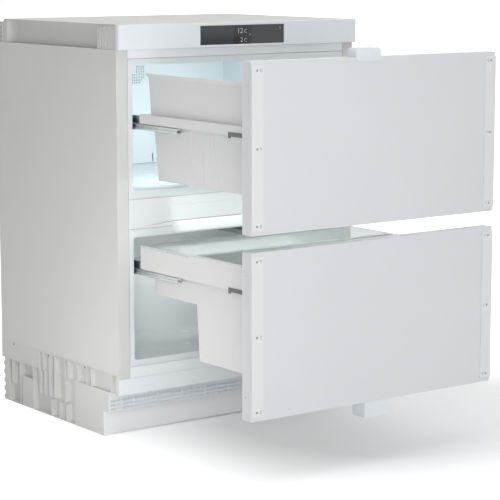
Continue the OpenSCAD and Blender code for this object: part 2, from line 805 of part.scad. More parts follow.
// Hot line to the condenser and suction line up into the insulation
module refrigerant_pipes() color(COPPER) place() {
    cx = comp_pos[0];
    cy = comp_pos[1];
    left = cx - compressor_r - fit;
    z = comp_z + 30;
    mid_z = (floor_z + cond_z1) / 2;
    hot_y = cond_y1 - 20;
    pipe_run([[left, cy, z], [left - 40, cy, z], [left - 40, hot_y + 40, mid_z], [left - 40, hot_y, mid_z],
        [cond_x1 + fit, hot_y, mid_z]]);
    cold_z = comp_z + 60;
    pipe_run([[left, cy + 12, cold_z], [left - 60, cy + 12, cold_z],
        [left - 60, cy + 50, room_z - 60], [left - 60, cy + 50, room_z - sheet_t - fit]]);
}

module mains_inlet() color(BLACK) place() difference() {
    x1 = foot_x - boss_r - 3;
    x0 = x1 - inlet_w;
    y1 = base_back;
    rim = 10;
    box([x0, x1], [y1 - inlet_d, y1], [floor_z, floor_z + inlet_h]);
    box([x0 + rim, x1 - rim], [y1 - 16, y1 + cut], [floor_z + rim, floor_z + inlet_h - rim]);
}

// ---- Cold side -------------------------------------------------------------------

module grille_holes() {
    reach = floor(grille_r / grille_pitch);
    for (i = [-reach : reach], j = [-reach : reach]) {
        r = norm([i, j]) * grille_pitch;
        if (r + perforation_r < grille_r && r - perforation_r > grille_hub_r)
            y_hole(grille_x + i * grille_pitch, grille_z + j * grille_pitch, perforation_r,
                [duct_y - cut, duct_y + duct_t + cut], $fn = 16);
    }
}

module air_duct_cover() color(LINER) place() {
    x = open_x - duct_gap;
    back = duct_y + duct_t;
    difference() {
        along_y(duct_y, back) round_rect([-x, x], [upper_z0 + duct_gap, upper_z1 - duct_gap], opening_r);
        grille_holes();
        box([sensor_slot_x, sensor_slot_x + sensor_slot_w], [duct_y - cut, back + cut],
            [upper_z0 + 4, upper_z0 + 4 + sensor_slot_h]);
    }
    both_sides() box([-x + 10, -x + 12], [back, liner_d], [upper_z0 + 14, upper_z1 - 14]);
    y_hole(grille_x, grille_z, 5, [back, back + 2]);
    y_hole(grille_x, grille_z, cabin_pin_r, [back, back + 12]);
}

module evaporator() color(STEEL) place() {
    plate_t = 1.5;
    fin_d = 7.5;
    y1 = liner_d - plate_t;
    z = [upper_z0 + evaporator_lift, upper_z0 + evaporator_lift + evaporator_h];
    box([-evaporator_x, evaporator_x], [y1, liner_d], z);
    for (x = [-evaporator_x : 1.5 * fin_pitch : evaporator_x - fin_t])
        box([x, x + fin_t / 2], [y1 - fin_d, y1], z);
}

module cabin_fan() color(PALE) place()
    translate([grille_x, duct_y + duct_t + 7, grille_z]) fan_rotor(9, cabin_fan_r, 7, cabin_pin_r + pin_gap);

// Light strips: one flush in the divider, one under the upper ceiling
module lamp_covers() color([0.97, 0.99, 1.0]) place() {
    box([-lamp_x, lamp_x], [0, lamp_t], [lamp_z0, lamp_z0 + lamp_h]);
    box([-lamp_x, lamp_x], [24, 46], [upper_z1 - lamp_t, upper_z1]);
}

// ---- Rails -----------------------------------------------------------------------

module fixed_rail(seat) {
    y = [rail_y, rail_y + fixed_rail_l];
    low = seat - rail_down;
    box([-open_x, -open_x + rail_t], y, [low, seat + rail_up]);
    box([-open_x, -open_x + rail_w], y, [low, low + rail_t]);
    box([-open_x + rail_w - rail_t, -open_x + rail_w], y, [low, low + rail_up]);
}

module fixed_rails() color(STEEL) place() both_sides() {
    fixed_rail(upper_seat);
    fixed_rail(lower_seat);
}

// Hollow box that runs in the fixed rail, with a stem that carries the drawer rail
module middle_rail(seat) {
    x0 = -open_x + box_s;
    z0 = seat - rail_down + rail_t + fit;
    stem_x = x0 + (box_w - stem_w) / 2 + 1.5;
    along_y(middle_y, middle_y + middle_rail_l) {
        difference() {
            translate([x0, z0]) square([box_w, box_h]);
            translate([x0 + rail_t, z0 - cut]) square([box_w - 2 * rail_t, box_h - 2 * rail_t]);
        }
        translate([stem_x, z0 + box_h - rail_t])
            square([stem_w, seat + hood_top - hood_wall - fit - z0 - box_h + rail_t]);
    }
}

module drawer_rail(seat) {
    stem_x = -open_x + box_s + (box_w - stem_w) / 2 + 1.5;
    x0 = stem_x - 1 - hood_wall;
    x1 = stem_x + stem_w + 1 + hood_wall;
    y = [drawer_rail_y, drawer_rail_y + drawer_rail_l];
    top = seat + hood_top;
    box([x0, x1], y, [top - hood_wall, top]);
    box([x0, x0 + hood_wall], y, [seat + 1, top]);
    box([x1 - hood_wall, x1], y, [seat + 1, top]);
}

module upper_middle_rails() color(STEEL) place() translate([0, -drawer_out / 2, 0])
    both_sides() middle_rail(upper_seat);

module lower_middle_rails() color(STEEL) place() translate([0, -drawer_out / 2, 0])
    both_sides() middle_rail(lower_seat);

module upper_drawer_rails() color(STEEL) place() drawer_open() both_sides() drawer_rail(upper_seat);

module lower_drawer_rails() color(STEEL) place() drawer_open() both_sides() drawer_rail(lower_seat);

// Release levers along the outside of the bins' skirts, hooked at their rear ends
module rail_clip(seat) {
    x = [-skirt_ox - fit - clip_t, -skirt_ox - fit];
    y1 = bin_front + clip_l;
    low = seat - clip_drop;
    box(x, [bin_front, y1], [low, seat + clip_rise]);
    box(x, [y1 - clip_hook[0], y1], [low - clip_hook[1], low]);
}

module upper_rail_clips() color(DARK) place() drawer_open() both_sides() rail_clip(upper_seat);

module lower_rail_clips() color(DARK) place() drawer_open() both_sides() rail_clip(lower_seat);

// ---- Drawer fronts ---------------------------------------------------------------

function fixing_heights(z) = [z[0] + fixing_inset, (z[0] + z[1]) / 2, z[1] - fixing_inset];

module front_outline(z, y, inset) {
    x = front_x - inset;
    r = max(front_edge_r - inset, 0.5);
    translate([0, 0, z[0] + inset]) linear_extrude(z[1] - z[0] - 2 * inset) {
        translate([-x, y[0] + r]) square([2 * x, y[1] - y[0] - r]);
        translate([-x + r, y[0]]) square([2 * x - 2 * r, y[1] - y[0]]);
        for (cx = [-x + r, x - r]) translate([cx, y[0] + r]) circle(r);
    }
}

module fixing_bores(z, r, x, y) for (side = [-x, x], h = fixing_heights(z)) y_hole(side, h, r, y);

module front_skin(z) color(WHITE) place() drawer_open() difference() {
    front_outline(z, [front_face, front_back - front_inner_t], 0);
    front_outline(z, [front_face + sheet_t, front_back], sheet_t);
    fixing_bores(z, fixing_r, fixing_x, [front_face - cut, front_face + sheet_t + cut]);
    fixing_bores(z, screw_r + screw_gap, screw_x, [front_face - cut, front_face + sheet_t + cut]);
    for (x = [-front_x - cut, front_x - sheet_t - cut], h = [z[0] + edge_hole_inset, z[1] - edge_hole_inset])
        translate([x, edge_hole_y, h]) rotate([0, 90, 0]) cylinder(r = 2, h = sheet_t + 2 * cut);
}

module front_liner(z) color(PALE) place() drawer_open()
    box([-front_x, front_x], [front_back - front_inner_t, front_back], z);

module front_foam(z) color(FOAM) place() drawer_open() difference() {
    front_outline(z, [front_face + sheet_t + touch, front_back - front_inner_t - touch], sheet_t + touch);
    fixing_bores(z, fixing_r, fixing_x, [front_face, front_face + pilot_d]);
    fixing_bores(z, screw_r + screw_gap, screw_x, [front_face, front_face + pilot_d]);
}

module gasket(z) color([0.78, 0.79, 0.80]) place() drawer_open() difference() {
    outer = front_x - gasket_inset;
    inner = outer - gasket_w;
    box([-outer, outer], [front_back, -fit], [z[0] + gasket_inset, z[1] - gasket_inset]);
    box([-inner, inner], [front_back - cut, cut],
        [z[0] + gasket_inset + gasket_w, z[1] - gasket_inset - gasket_w]);
}

strip_face = front_face - strip_t;

module trim_strips(z) color(WHITE) place() drawer_open() both_sides() difference() {
    box([-strip_x1, -strip_x0], [strip_face, front_face], [z[0] + strip_end, z[1] - strip_end]);
    for (h = fixing_heights(z)) {
        y_hole(-fixing_x, h, fixing_r, [strip_face - cut, front_face + cut]);
        y_hole(-screw_x, h, screw_r + screw_gap, [strip_face - cut, front_face + cut]);
        y_hole(-screw_x, h, screw_head_r + screw_gap, [strip_face - cut, strip_face + screw_head_t]);
    }
}

module strip_screws(z) color(STEEL) place() drawer_open()
    for (x = [-screw_x, screw_x], h = fixing_heights(z)) {
        y_hole(x, h, screw_head_r, [strip_face, strip_face + screw_head_t]);
        y_hole(x, h, screw_r, [strip_face, front_face + pilot_d - 1]);
    }

upper_z = [upper_front_z0, upper_front_z1];
lower_z = [lower_front_z0, lower_front_z1];

module upper_front_skin() front_skin(upper_z);

module upper_front_liner() front_liner(upper_z);

module upper_front_foam() front_foam(upper_z);

module upper_gasket() gasket(upper_z);

module upper_trim_strips() trim_strips(upper_z);

module upper_strip_screws() strip_screws(upper_z);

module lower_front_skin() front_skin(lower_z);

module lower_front_liner() front_liner(lower_z);

module lower_front_foam() front_foam(lower_z);

module lower_gasket() gasket(lower_z);

module lower_trim_strips() trim_strips(lower_z);

module lower_strip_screws() strip_screws(lower_z);

// Hook on the upper front's top edge, for the furniture front
module upper_top_bracket() color(WHITE) place() drawer_open() {
    x = [-57, 3];
    y = [strip_face, front_face + 24];
    r = 8;
    top = upper_front_z1 + 17;
    difference() {
        along_y(y[0], y[1]) round_rect(x, [upper_front_z1 - r, top], r);
        box(x + [2.5, -2.5], [y[0] + 2.5, y[1] + cut], [upper_front_z1 + 2, top - 2.5]);
        box(x + [-cut, cut], [front_face, y[1] + cut], [upper_front_z1 - r - cut, upper_front_z1]);
    }
}

// Block under the lower front's bottom edge, for the furniture front
module lower_bottom_bracket() color(WHITE) place() drawer_open() difference() {
    x = [-27, 29];
    y = [front_face, -1];
    z = [lower_front_z0 - 31, lower_front_z0];
    box(x, y, z);
    box(x + [2.5, -2.5], [y[0] + 2.5, y[1] + cut], z + [2.5, -2.5]);
}

// ---- Bins ------------------------------------------------------------------------

// A thin horizontal plate with round corners, for the ends of a tapered wall
module footprint(x, y, z, r) translate([0, 0, z]) linear_extrude(0.1)
    for (cx = [-x + r, x - r], cy = [y[0] + r, y[1] - r]) translate([cx, cy]) circle(r, $fn = 24);

// Tapered block between two footprints: low and high are [half width, front, back, height]
module tapered(low, high, r) hull() {
    footprint(low[0], [low[1], low[2]], low[3], r);
    footprint(high[0], [high[1], high[2]], high[3] - 0.1, r);
}

// The same footprint inside a wall of thickness t, at another height
function inside(p, t, z) = [p[0] - t, p[1] + t, p[2] - t, z];

// Hollows between the skirt's lip and the bin's wall, open below where the drawer rails run
// and at the rear, where the middle rails pass
module side_hollow(y0, z0, z1) both_sides()
    box([-skirt_ix, -bin_wall_x - 0.1], [y0, bin_back + cut], [z0, z1]);

module rear_hollow(y0, z0, z1) box([-skirt_ix, skirt_ix], [y0, hollow_back], [z0, z1]);

module upper_bin() color(BIN) place() drawer_open() {
    f = bin_front;
    t = bin_t;
    skirt_top = upper_seat + upper_skirt_h;
    hollow_top = upper_seat + hood_top;
    floor_end = [bin_wall_x - bin_draft, f, bin_wall_back - 9, upper_bin_z0];
    skirt_end = [bin_wall_x, f, bin_wall_back, skirt_top];
    shoulder = [upper_wall_x, f, bin_wall_back + 3, skirt_top - 1];
    neck = [upper_wall_x + 2, f, bin_wall_back + 10, upper_rim];
    rim_low = [neck[0], f, neck[2], upper_rim - rim_h];
    rim = [neck[0] + 2, f, bin_back - 3, upper_rim];
    difference() {
        union() {
            tapered(floor_end, skirt_end, bin_r);
            box([-skirt_ox, skirt_ox], [f, bin_back], [upper_seat, skirt_top]);
            tapered(shoulder, neck, bin_r);
            tapered(rim_low, rim, bin_r);
        }
        tapered(inside(floor_end, t, upper_bin_z0 + t), inside(skirt_end, t, skirt_top + 1), bin_r - t);
        tapered(inside(shoulder, t, skirt_top), inside(neck, t, upper_rim + 1), bin_r - t);
        side_hollow(f - cut, upper_seat - cut, hollow_top);
        rear_hollow(bin_wall_back + 1, upper_seat - cut, hollow_top);
        box([-upper_wall_x + bin_r, upper_wall_x - bin_r], [bin_wall_back - bin_r, bin_back + cut],
            [upper_rim - rear_wall_drop, upper_rim + cut]);
    }
    both_sides() for (y = bin_ribs) along_y(y, y + bin_rib_w) polygon([
        [-floor_end[0] - bin_rib_t, upper_bin_z0 + bin_r], [-floor_end[0] + bin_rib_t, upper_bin_z0 + bin_r],
        [-bin_wall_x + bin_rib_t, upper_seat], [-bin_wall_x - bin_rib_t, upper_seat]]);
}

module lower_bin() color(BIN) place() drawer_open() {
    f = bin_front;
    t = bin_t;
    ledge = lower_seat + hood_top;
    deep_floor = [bin_wall_x - bin_draft, f, deep_back - 7, lower_bin_z0];
    deep_end = [bin_wall_x, f, deep_back, ledge + 2];
    shallow_floor = [bin_wall_x - 2, f, bin_wall_back - 2, shallow_z0];
    shallow_end = [bin_wall_x, f, bin_wall_back, ledge + 2];
    difference() {
        union() {
            tapered(deep_floor, deep_end, bin_r);
            tapered(shallow_floor, shallow_end, bin_r);
            box([-skirt_ox, skirt_ox], [f, bin_back], [lower_seat, lower_rim]);
        }
        tapered(inside(deep_floor, t, lower_bin_z0 + t), inside(deep_end, t, lower_rim + 1), bin_r - t);
        tapered(inside(shallow_floor, t, shallow_z0 + t), inside(shallow_end, t, lower_rim + 1), bin_r - t);
        side_hollow(f - cut, lower_seat - cut, ledge);
        rear_hollow(bin_wall_back + 1, lower_seat - cut, lower_rim - lower_rim_t);
        lid_block(fit, lower_rim + cut);
    }
}

// Glass lid over the shallow rear part, level with the rim in front of it
module lid_block(gap, top) {
    box([-skirt_ox - gap, skirt_ox + gap], [deep_back - 5 - gap, bin_back + gap], [lower_rim - lid_t, top]);
}

module lower_lid() color([0.80, 0.90, 0.88, 0.5]) place() drawer_open() lid_block(0, lower_rim);

// ---- Nodes -----------------------------------------------------------------------

left_side_panel();
right_side_panel();
rear_panel();
bottom_shell();
cross_rails();
divider_cover();
upper_liner();
lower_liner();
foam_insulation();
fascia();
display_glass();
control_board();
top_plate();
top_beams();
top_corner_blocks();
base_skirts();
base_floor();
base_walls();
vent_grille();
plinth_panel();
foot_front_left();
foot_front_right();
foot_rear_left();
foot_rear_right();
compressor();
compressor_mounts();
condenser();
fan_shroud();
condenser_fan();
drip_tray();
refrigerant_pipes();
mains_inlet();
air_duct_cover();
evaporator();
cabin_fan();
lamp_covers();
fixed_rails();
upper_middle_rails();
upper_drawer_rails();
upper_front_skin();
upper_front_liner();
upper_front_foam();
upper_gasket();
upper_trim_strips();
upper_strip_screws();
upper_top_bracket();
upper_bin();
upper_rail_clips();
lower_middle_rails();
lower_drawer_rails();
lower_front_skin();
lower_front_liner();
lower_front_foam();
lower_gasket();
lower_trim_strips();
lower_strip_screws();
lower_bottom_bracket();
lower_bin();
lower_lid();
lower_rail_clips();
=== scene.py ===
"""Looks of an undercounter refrigerator with two drawers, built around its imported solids.

Everything is in metres, in the frame of the solids: X across, Y to the back, Z up.
"""

import json
import logging
import math
from dataclasses import dataclass
from enum import Enum
from typing import Iterable, Sequence

import bmesh
import bpy
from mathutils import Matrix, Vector


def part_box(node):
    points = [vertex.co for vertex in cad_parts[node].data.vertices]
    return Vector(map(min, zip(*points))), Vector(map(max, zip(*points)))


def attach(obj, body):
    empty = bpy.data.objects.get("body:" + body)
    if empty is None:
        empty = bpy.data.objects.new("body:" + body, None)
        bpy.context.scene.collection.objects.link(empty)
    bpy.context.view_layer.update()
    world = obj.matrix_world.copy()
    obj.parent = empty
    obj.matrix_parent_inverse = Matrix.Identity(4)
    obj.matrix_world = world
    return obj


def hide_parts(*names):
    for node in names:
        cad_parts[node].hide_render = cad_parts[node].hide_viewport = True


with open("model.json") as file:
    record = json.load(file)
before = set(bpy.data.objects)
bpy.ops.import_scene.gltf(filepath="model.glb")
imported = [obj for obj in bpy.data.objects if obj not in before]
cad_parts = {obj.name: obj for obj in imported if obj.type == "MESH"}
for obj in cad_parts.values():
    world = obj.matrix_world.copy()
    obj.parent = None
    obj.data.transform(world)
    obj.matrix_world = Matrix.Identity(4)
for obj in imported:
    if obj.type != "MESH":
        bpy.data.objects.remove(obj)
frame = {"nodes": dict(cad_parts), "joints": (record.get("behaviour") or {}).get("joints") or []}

LOG = logging.getLogger("drawer_refrigerator")
MM = 0.001
COAT_ROUGHNESS = 0.12
GLASS_ALPHA = 0.4  # how solid the glass looks in a plain viewport
WELD_REACH = 0.005 * MM
FLAT_ANGLE = math.radians(0.3)  # faces within this angle become one before the rounding
EDGE_ANGLE = math.radians(40.0)  # edges sharper than this are rounded
ROUNDING_STEPS = 2
Color = tuple[float, float, float]
Point = tuple[float, float, float]


# ---- Shader nodes ----------------------------------------------------------------


class Weave(Enum):
    """How a finish's fine relief runs over the surface."""

    NONE = "none"
    PEBBLE = "pebble"
    ORANGE_PEEL = "orange_peel"
    BRUSHED_Y = "brushed_y"
    BRUSHED_X = "brushed_x"


class Sheet:
    """A node tree under construction, with short calls to add and link nodes."""

    def __init__(self, tree: bpy.types.NodeTree) -> None:
        """Starts from an empty tree.

        Args:
            tree: the node tree to fill.
        """
        self.tree = tree
        tree.nodes.clear()

    def add(self, kind: str, **values: object) -> bpy.types.Node:
        """Adds a node and sets its properties and inputs.

        Args:
            kind: the node's type name.
            **values: properties by name; inputs as in_NAME, with _ for a space, or as in_NUMBER.
                An input takes a value, or the output that it is linked to.

        Returns:
            The new node.
        """
        node = self.tree.nodes.new(kind)
        for name, value in values.items():
            if name.startswith("in_"):
                key = name[3:]
                self.feed(value, node.inputs[int(key) if key.isdigit() else key.replace("_", " ")])
            else:
                setattr(node, name, value)
        return node

    def feed(self, value: object, target: bpy.types.NodeSocket) -> None:
        """Links an output to an input, or writes a plain value into it.

        Args:
            value: the output or the value.
            target: the input.
        """
        if isinstance(value, bpy.types.NodeSocket):
            self.tree.links.new(value, target)
        else:
            target.default_value = value

    def math(self, operation: str, a: object, b: object = 0.0) -> bpy.types.NodeSocket:
        """Adds a Math node.

        Args:
            operation: the node's operation.
            a: first value or output socket.
            b: second value or output socket.

        Returns:
            The node's output.
        """
        return self.add("ShaderNodeMath", operation=operation, in_0=a, in_1=b).outputs[0]

    def mix(self, factor: object, a: object, b: object) -> bpy.types.NodeSocket:
        """Adds a colour Mix node.

        Args:
            factor: share of b, as a value or an output.
            a: first colour or output.
            b: second colour or output.

        Returns:
            The mixed colour's output.
        """
        return self.add("ShaderNodeMix", data_type="RGBA", in_0=factor, in_6=a, in_7=b).outputs[2]

    def mix_shaders(self, factor: bpy.types.NodeSocket, a: bpy.types.Node,
                    b: bpy.types.Node) -> bpy.types.NodeSocket:
        """Adds a Mix Shader node.

        Args:
            factor: share of b.
            a: first shader's node.
            b: second shader's node.

        Returns:
            The mixed shader's output.
        """
        return self.add("ShaderNodeMixShader", in_0=factor, in_1=a.outputs[0],
                        in_2=b.outputs[0]).outputs[0]

    def place(self) -> bpy.types.NodeSocket:
        """Returns the surface's place in the object's own frame."""
        return self.add("ShaderNodeTexCoord").outputs["Object"]

    def seen_directly(self) -> bpy.types.NodeSocket:
        """Tells what the camera sees, directly, in gloss or through glass.

        Returns:
            An output that is 1 for those rays and 0 for the light on other surfaces.
        """
        path = self.add("ShaderNodeLightPath")
        shiny = self.math("MAXIMUM", path.outputs["Is Glossy Ray"],
                          path.outputs["Is Transmission Ray"])
        return self.math("MAXIMUM", path.outputs["Is Camera Ray"], shiny)

    def ramp(self, value: bpy.types.NodeSocket, low: float, high: float,
             to_low: float = 0.0, to_high: float = 1.0) -> bpy.types.NodeSocket:
        """Maps a value's range onto another, clamped.

        Args:
            value: the output to map.
            low: value that becomes to_low.
            high: value that becomes to_high.
            to_low: result at low.
            to_high: result at high.

        Returns:
            The mapped output.
        """
        return self.add("ShaderNodeMapRange", in_Value=value, in_From_Min=low, in_From_Max=high,
                        in_To_Min=to_low, in_To_Max=to_high).outputs[0]


class SurfaceEffects:
    """The shader groups that the finishes share, each built once."""

    def __init__(self) -> None:
        """Builds all groups."""
        self.tone = self._tone_group()
        self.relief = self._relief_group()
        self.dust = self._dust_group()

    @staticmethod
    def _group(name: str, inputs: Sequence[tuple[str, str, object]],
               outputs: Sequence[tuple[str, str]]) -> tuple[Sheet, bpy.types.Node, bpy.types.Node]:
        """Starts a group with its sockets.

        Args:
            name: the group's name.
            inputs: name, socket type and default of each input.
            outputs: name and socket type of each output.

        Returns:
            The group's sheet, input node and output node.
        """
        tree = bpy.data.node_groups.new(name, "ShaderNodeTree")
        for label, kind, default in inputs:
            socket = tree.interface.new_socket(name=label, in_out="INPUT", socket_type=kind)
            socket.default_value = default
        for label, kind in outputs:
            tree.interface.new_socket(name=label, in_out="OUTPUT", socket_type=kind)
        sheet = Sheet(tree)
        return sheet, sheet.add("NodeGroupInput"), sheet.add("NodeGroupOutput")

    def _tone_group(self) -> bpy.types.NodeTree:
        """Slow drift of a colour's lightness and a finer mottle, with the matching gloss change.

        Returns:
            The group, with Color and Gloss outputs.
        """
        sheet, given, out = self._group(
            "slow_tone", [("Color", "NodeSocketColor", (0.8, 0.8, 0.8, 1.0)),
                          ("Drift", "NodeSocketFloat", 0.03),
                          ("Scale", "NodeSocketFloat", 3.0),
                          ("Roughness", "NodeSocketFloat", 0.4)],
            [("Color", "NodeSocketColor"), ("Gloss", "NodeSocketFloat")])
        place = sheet.place()
        wide = sheet.add("ShaderNodeTexNoise", in_Vector=place, in_Scale=given.outputs["Scale"],
                         in_Detail=3.0, in_Roughness=0.55)
        smudge = sheet.add("ShaderNodeTexNoise", in_Vector=place, in_Detail=5.0, in_Roughness=0.65,
                           in_Scale=sheet.math("MULTIPLY", given.outputs["Scale"], 9.0))
        swing = sheet.ramp(wide.outputs[0], 0.3, 0.7, -1.0, 1.0)
        value = sheet.math("ADD", 1.0, sheet.math("MULTIPLY", swing, given.outputs["Drift"]))
        tinted = sheet.add("ShaderNodeHueSaturation", in_Color=given.outputs["Color"],
                           in_Value=value)
        sheet.feed(tinted.outputs[0], out.inputs["Color"])
        patch = sheet.ramp(smudge.outputs[0], 0.35, 0.7, -0.18, 0.22)
        rough = sheet.math("MULTIPLY", given.outputs["Roughness"], sheet.math("ADD", 1.0, patch))
        sheet.feed(rough, out.inputs["Gloss"])
        return sheet.tree

    def _relief_group(self) -> bpy.types.NodeTree:
        """Fine relief of a surface, stretched along an axis where it is brushed.

        Returns:
            The group, with a Height output from 0 to 1.
        """
        sheet, given, out = self._group(
            "fine_relief", [("Stretch", "NodeSocketVector", (1.0, 1.0, 1.0)),
                            ("Scale", "NodeSocketFloat", 900.0),
                            ("Detail", "NodeSocketFloat", 2.0)],
            [("Height", "NodeSocketFloat")])
        stretched = sheet.add("ShaderNodeVectorMath", operation="MULTIPLY",
                              in_0=sheet.place(), in_1=given.outputs["Stretch"])
        noise = sheet.add("ShaderNodeTexNoise", in_Vector=stretched.outputs[0],
                          in_Scale=given.outputs["Scale"], in_Detail=given.outputs["Detail"],
                          in_Roughness=0.5)
        sheet.feed(noise.outputs[0], out.inputs["Height"])
        return sheet.tree

    def _dust_group(self) -> bpy.types.NodeTree:
        """Thin dust that gathers on faces that look up.

        Returns:
            The group, with Color and Roughness outputs.
        """
        sheet, given, out = self._group(
            "settled_dust", [("Color", "NodeSocketColor", (0.8, 0.8, 0.8, 1.0)),
                             ("Roughness", "NodeSocketFloat", 0.4),
                             ("Amount", "NodeSocketFloat", 0.1),
                             ("Dust", "NodeSocketColor", (0.55, 0.53, 0.5, 1.0))],
            [("Color", "NodeSocketColor"), ("Roughness", "NodeSocketFloat")])
        normal = sheet.add("ShaderNodeNewGeometry").outputs["Normal"]
        facing = sheet.add("ShaderNodeSeparateXYZ", in_0=normal)
        speck = sheet.add("ShaderNodeTexNoise", in_Vector=sheet.place(), in_Scale=60.0,
                          in_Detail=6.0)
        up = sheet.ramp(facing.outputs["Z"], 0.4, 0.95)
        film = sheet.math("MULTIPLY", up, sheet.ramp(speck.outputs[0], 0.3, 0.75))
        share = sheet.math("MULTIPLY", film, given.outputs["Amount"])
        sheet.feed(sheet.mix(share, given.outputs["Color"], given.outputs["Dust"]),
                   out.inputs["Color"])
        more = sheet.math("MULTIPLY", share, 0.5)
        sheet.feed(sheet.math("ADD", given.outputs["Roughness"], more), out.inputs["Roughness"])
        return sheet.tree

    def add_tone(self, sheet: Sheet, finish: "Finish | GlassFinish") -> bpy.types.Node:
        """Places the tone group in a material with a finish's own values.

        Args:
            sheet: the material's nodes.
            finish: the finish.

        Returns:
            The group's node.
        """
        return sheet.add("ShaderNodeGroup", node_tree=self.tone, in_Color=(*finish.color, 1.0),
                         in_Drift=finish.drift, in_Scale=finish.drift_scale,
                         in_Roughness=finish.roughness)


def new_material(name: str) -> tuple[bpy.types.Material, Sheet]:
    """Starts a material.

    Args:
        name: its name.

    Returns:
        The material and its empty sheet of nodes.
    """
    material = bpy.data.materials.new(name)
    material.use_nodes = True
    return material, Sheet(material.node_tree)


@dataclass(frozen=True)
class Finish:
    """An opaque surface finish: colour, gloss and fine relief."""

    name: str
    color: Color
    roughness: float = 0.4
    metallic: float = 0.0
    specular: float = 0.5
    coat: float = 0.0
    weave: Weave = Weave.PEBBLE
    relief_scale: float = 1100.0
    relief_depth: float = 0.02 * MM
    drift: float = 0.025
    drift_scale: float = 3.0
    dust: float = 0.06
    glow: Color | None = None
    glow_strength: float = 0.0
    glow_end: float | None = None
    glow_fade: float = 35.0 * MM

    def build(self, effects: SurfaceEffects) -> bpy.types.Material:
        """Makes the material.

        Args:
            effects: the shared shader groups.

        Returns:
            The material, ready to assign.
        """
        material, sheet = new_material(self.name)
        tone = effects.add_tone(sheet, self)
        dust = sheet.add("ShaderNodeGroup", node_tree=effects.dust, in_Amount=self.dust,
                         in_Color=tone.outputs["Color"], in_Roughness=tone.outputs["Gloss"])
        surface = sheet.add("ShaderNodeBsdfPrincipled", in_Base_Color=dust.outputs["Color"],
                            in_Roughness=dust.outputs["Roughness"], in_Metallic=self.metallic,
                            in_Specular_IOR_Level=self.specular, in_Coat_Weight=self.coat,
                            in_Coat_Roughness=COAT_ROUGHNESS)
        sheet.add("ShaderNodeOutputMaterial", in_Surface=surface.outputs[0])
        if self.weave is not Weave.NONE:
            self._add_relief(sheet, effects, surface)
        if self.glow is not None:
            surface.inputs["Emission Color"].default_value = (*self.glow, 1.0)
            surface.inputs["Emission Strength"].default_value = self.glow_strength
            if self.glow_end is not None:
                self._fade_glow(sheet, surface)
        material.diffuse_color = (*self.color, 1.0)
        return material

    def _fade_glow(self, sheet: Sheet, surface: bpy.types.Node) -> None:
        """Lets the glow fade out towards both ends along X.

        Args:
            sheet: the material's nodes.
            surface: the surface shader.
        """
        place = sheet.add("ShaderNodeSeparateXYZ", in_0=sheet.place())
        reach = sheet.math("ABSOLUTE", place.outputs["X"])
        share = sheet.ramp(reach, self.glow_end - self.glow_fade, self.glow_end, 1.0, 0.0)
        fading = sheet.mix(share, (0.0, 0.0, 0.0, 1.0), (*self.glow, 1.0))
        sheet.feed(fading, surface.inputs["Emission Color"])

    def _add_relief(self, sheet: Sheet, effects: SurfaceEffects,
                    surface: bpy.types.Node) -> None:
        """Feeds the finish's fine relief to the surface's normal.

        Args:
            sheet: the material's nodes.
            effects: the shared shader groups.
            surface: the surface shader.
        """
        stretch = {Weave.BRUSHED_Y: (1.0, 0.02, 1.0), Weave.BRUSHED_X: (0.02, 1.0, 1.0)}
        relief = sheet.add("ShaderNodeGroup", node_tree=effects.relief,
                           in_Stretch=stretch.get(self.weave, (1.0, 1.0, 1.0)),
                           in_Scale=self.relief_scale,
                           in_Detail=1.0 if self.weave is Weave.ORANGE_PEEL else 3.0)
        bump = sheet.add("ShaderNodeBump", in_Height=relief.outputs["Height"], in_Strength=1.0,
                         in_Distance=self.relief_depth)
        sheet.feed(bump.outputs[0], surface.inputs["Normal"])


@dataclass(frozen=True)
class GlassFinish:
    """Clear or tinted glass with a faint wipe pattern in its gloss."""

    name: str
    color: Color
    roughness: float = 0.02
    ior: float = 1.5
    clarity: float = 1.0
    drift: float = 0.01
    drift_scale: float = 6.0

    def build(self, effects: SurfaceEffects) -> bpy.types.Material:
        """Makes the material.

        Args:
            effects: the shared shader groups.

        Returns:
            The material, ready to assign.
        """
        material, sheet = new_material(self.name)
        tone = effects.add_tone(sheet, self)
        surface = sheet.add("ShaderNodeBsdfPrincipled", in_Base_Color=tone.outputs["Color"],
                            in_Roughness=tone.outputs["Gloss"], in_Metallic=0.0,
                            in_IOR=self.ior, in_Transmission_Weight=self.clarity)
        clear = sheet.add("ShaderNodeBsdfTransparent", in_Color=(*self.color, 1.0))
        shadow = sheet.add("ShaderNodeLightPath").outputs["Is Shadow Ray"]
        sheet.add("ShaderNodeOutputMaterial", in_Surface=sheet.mix_shaders(shadow, surface, clear))
        material.diffuse_color = (*self.color, GLASS_ALPHA)
        return material


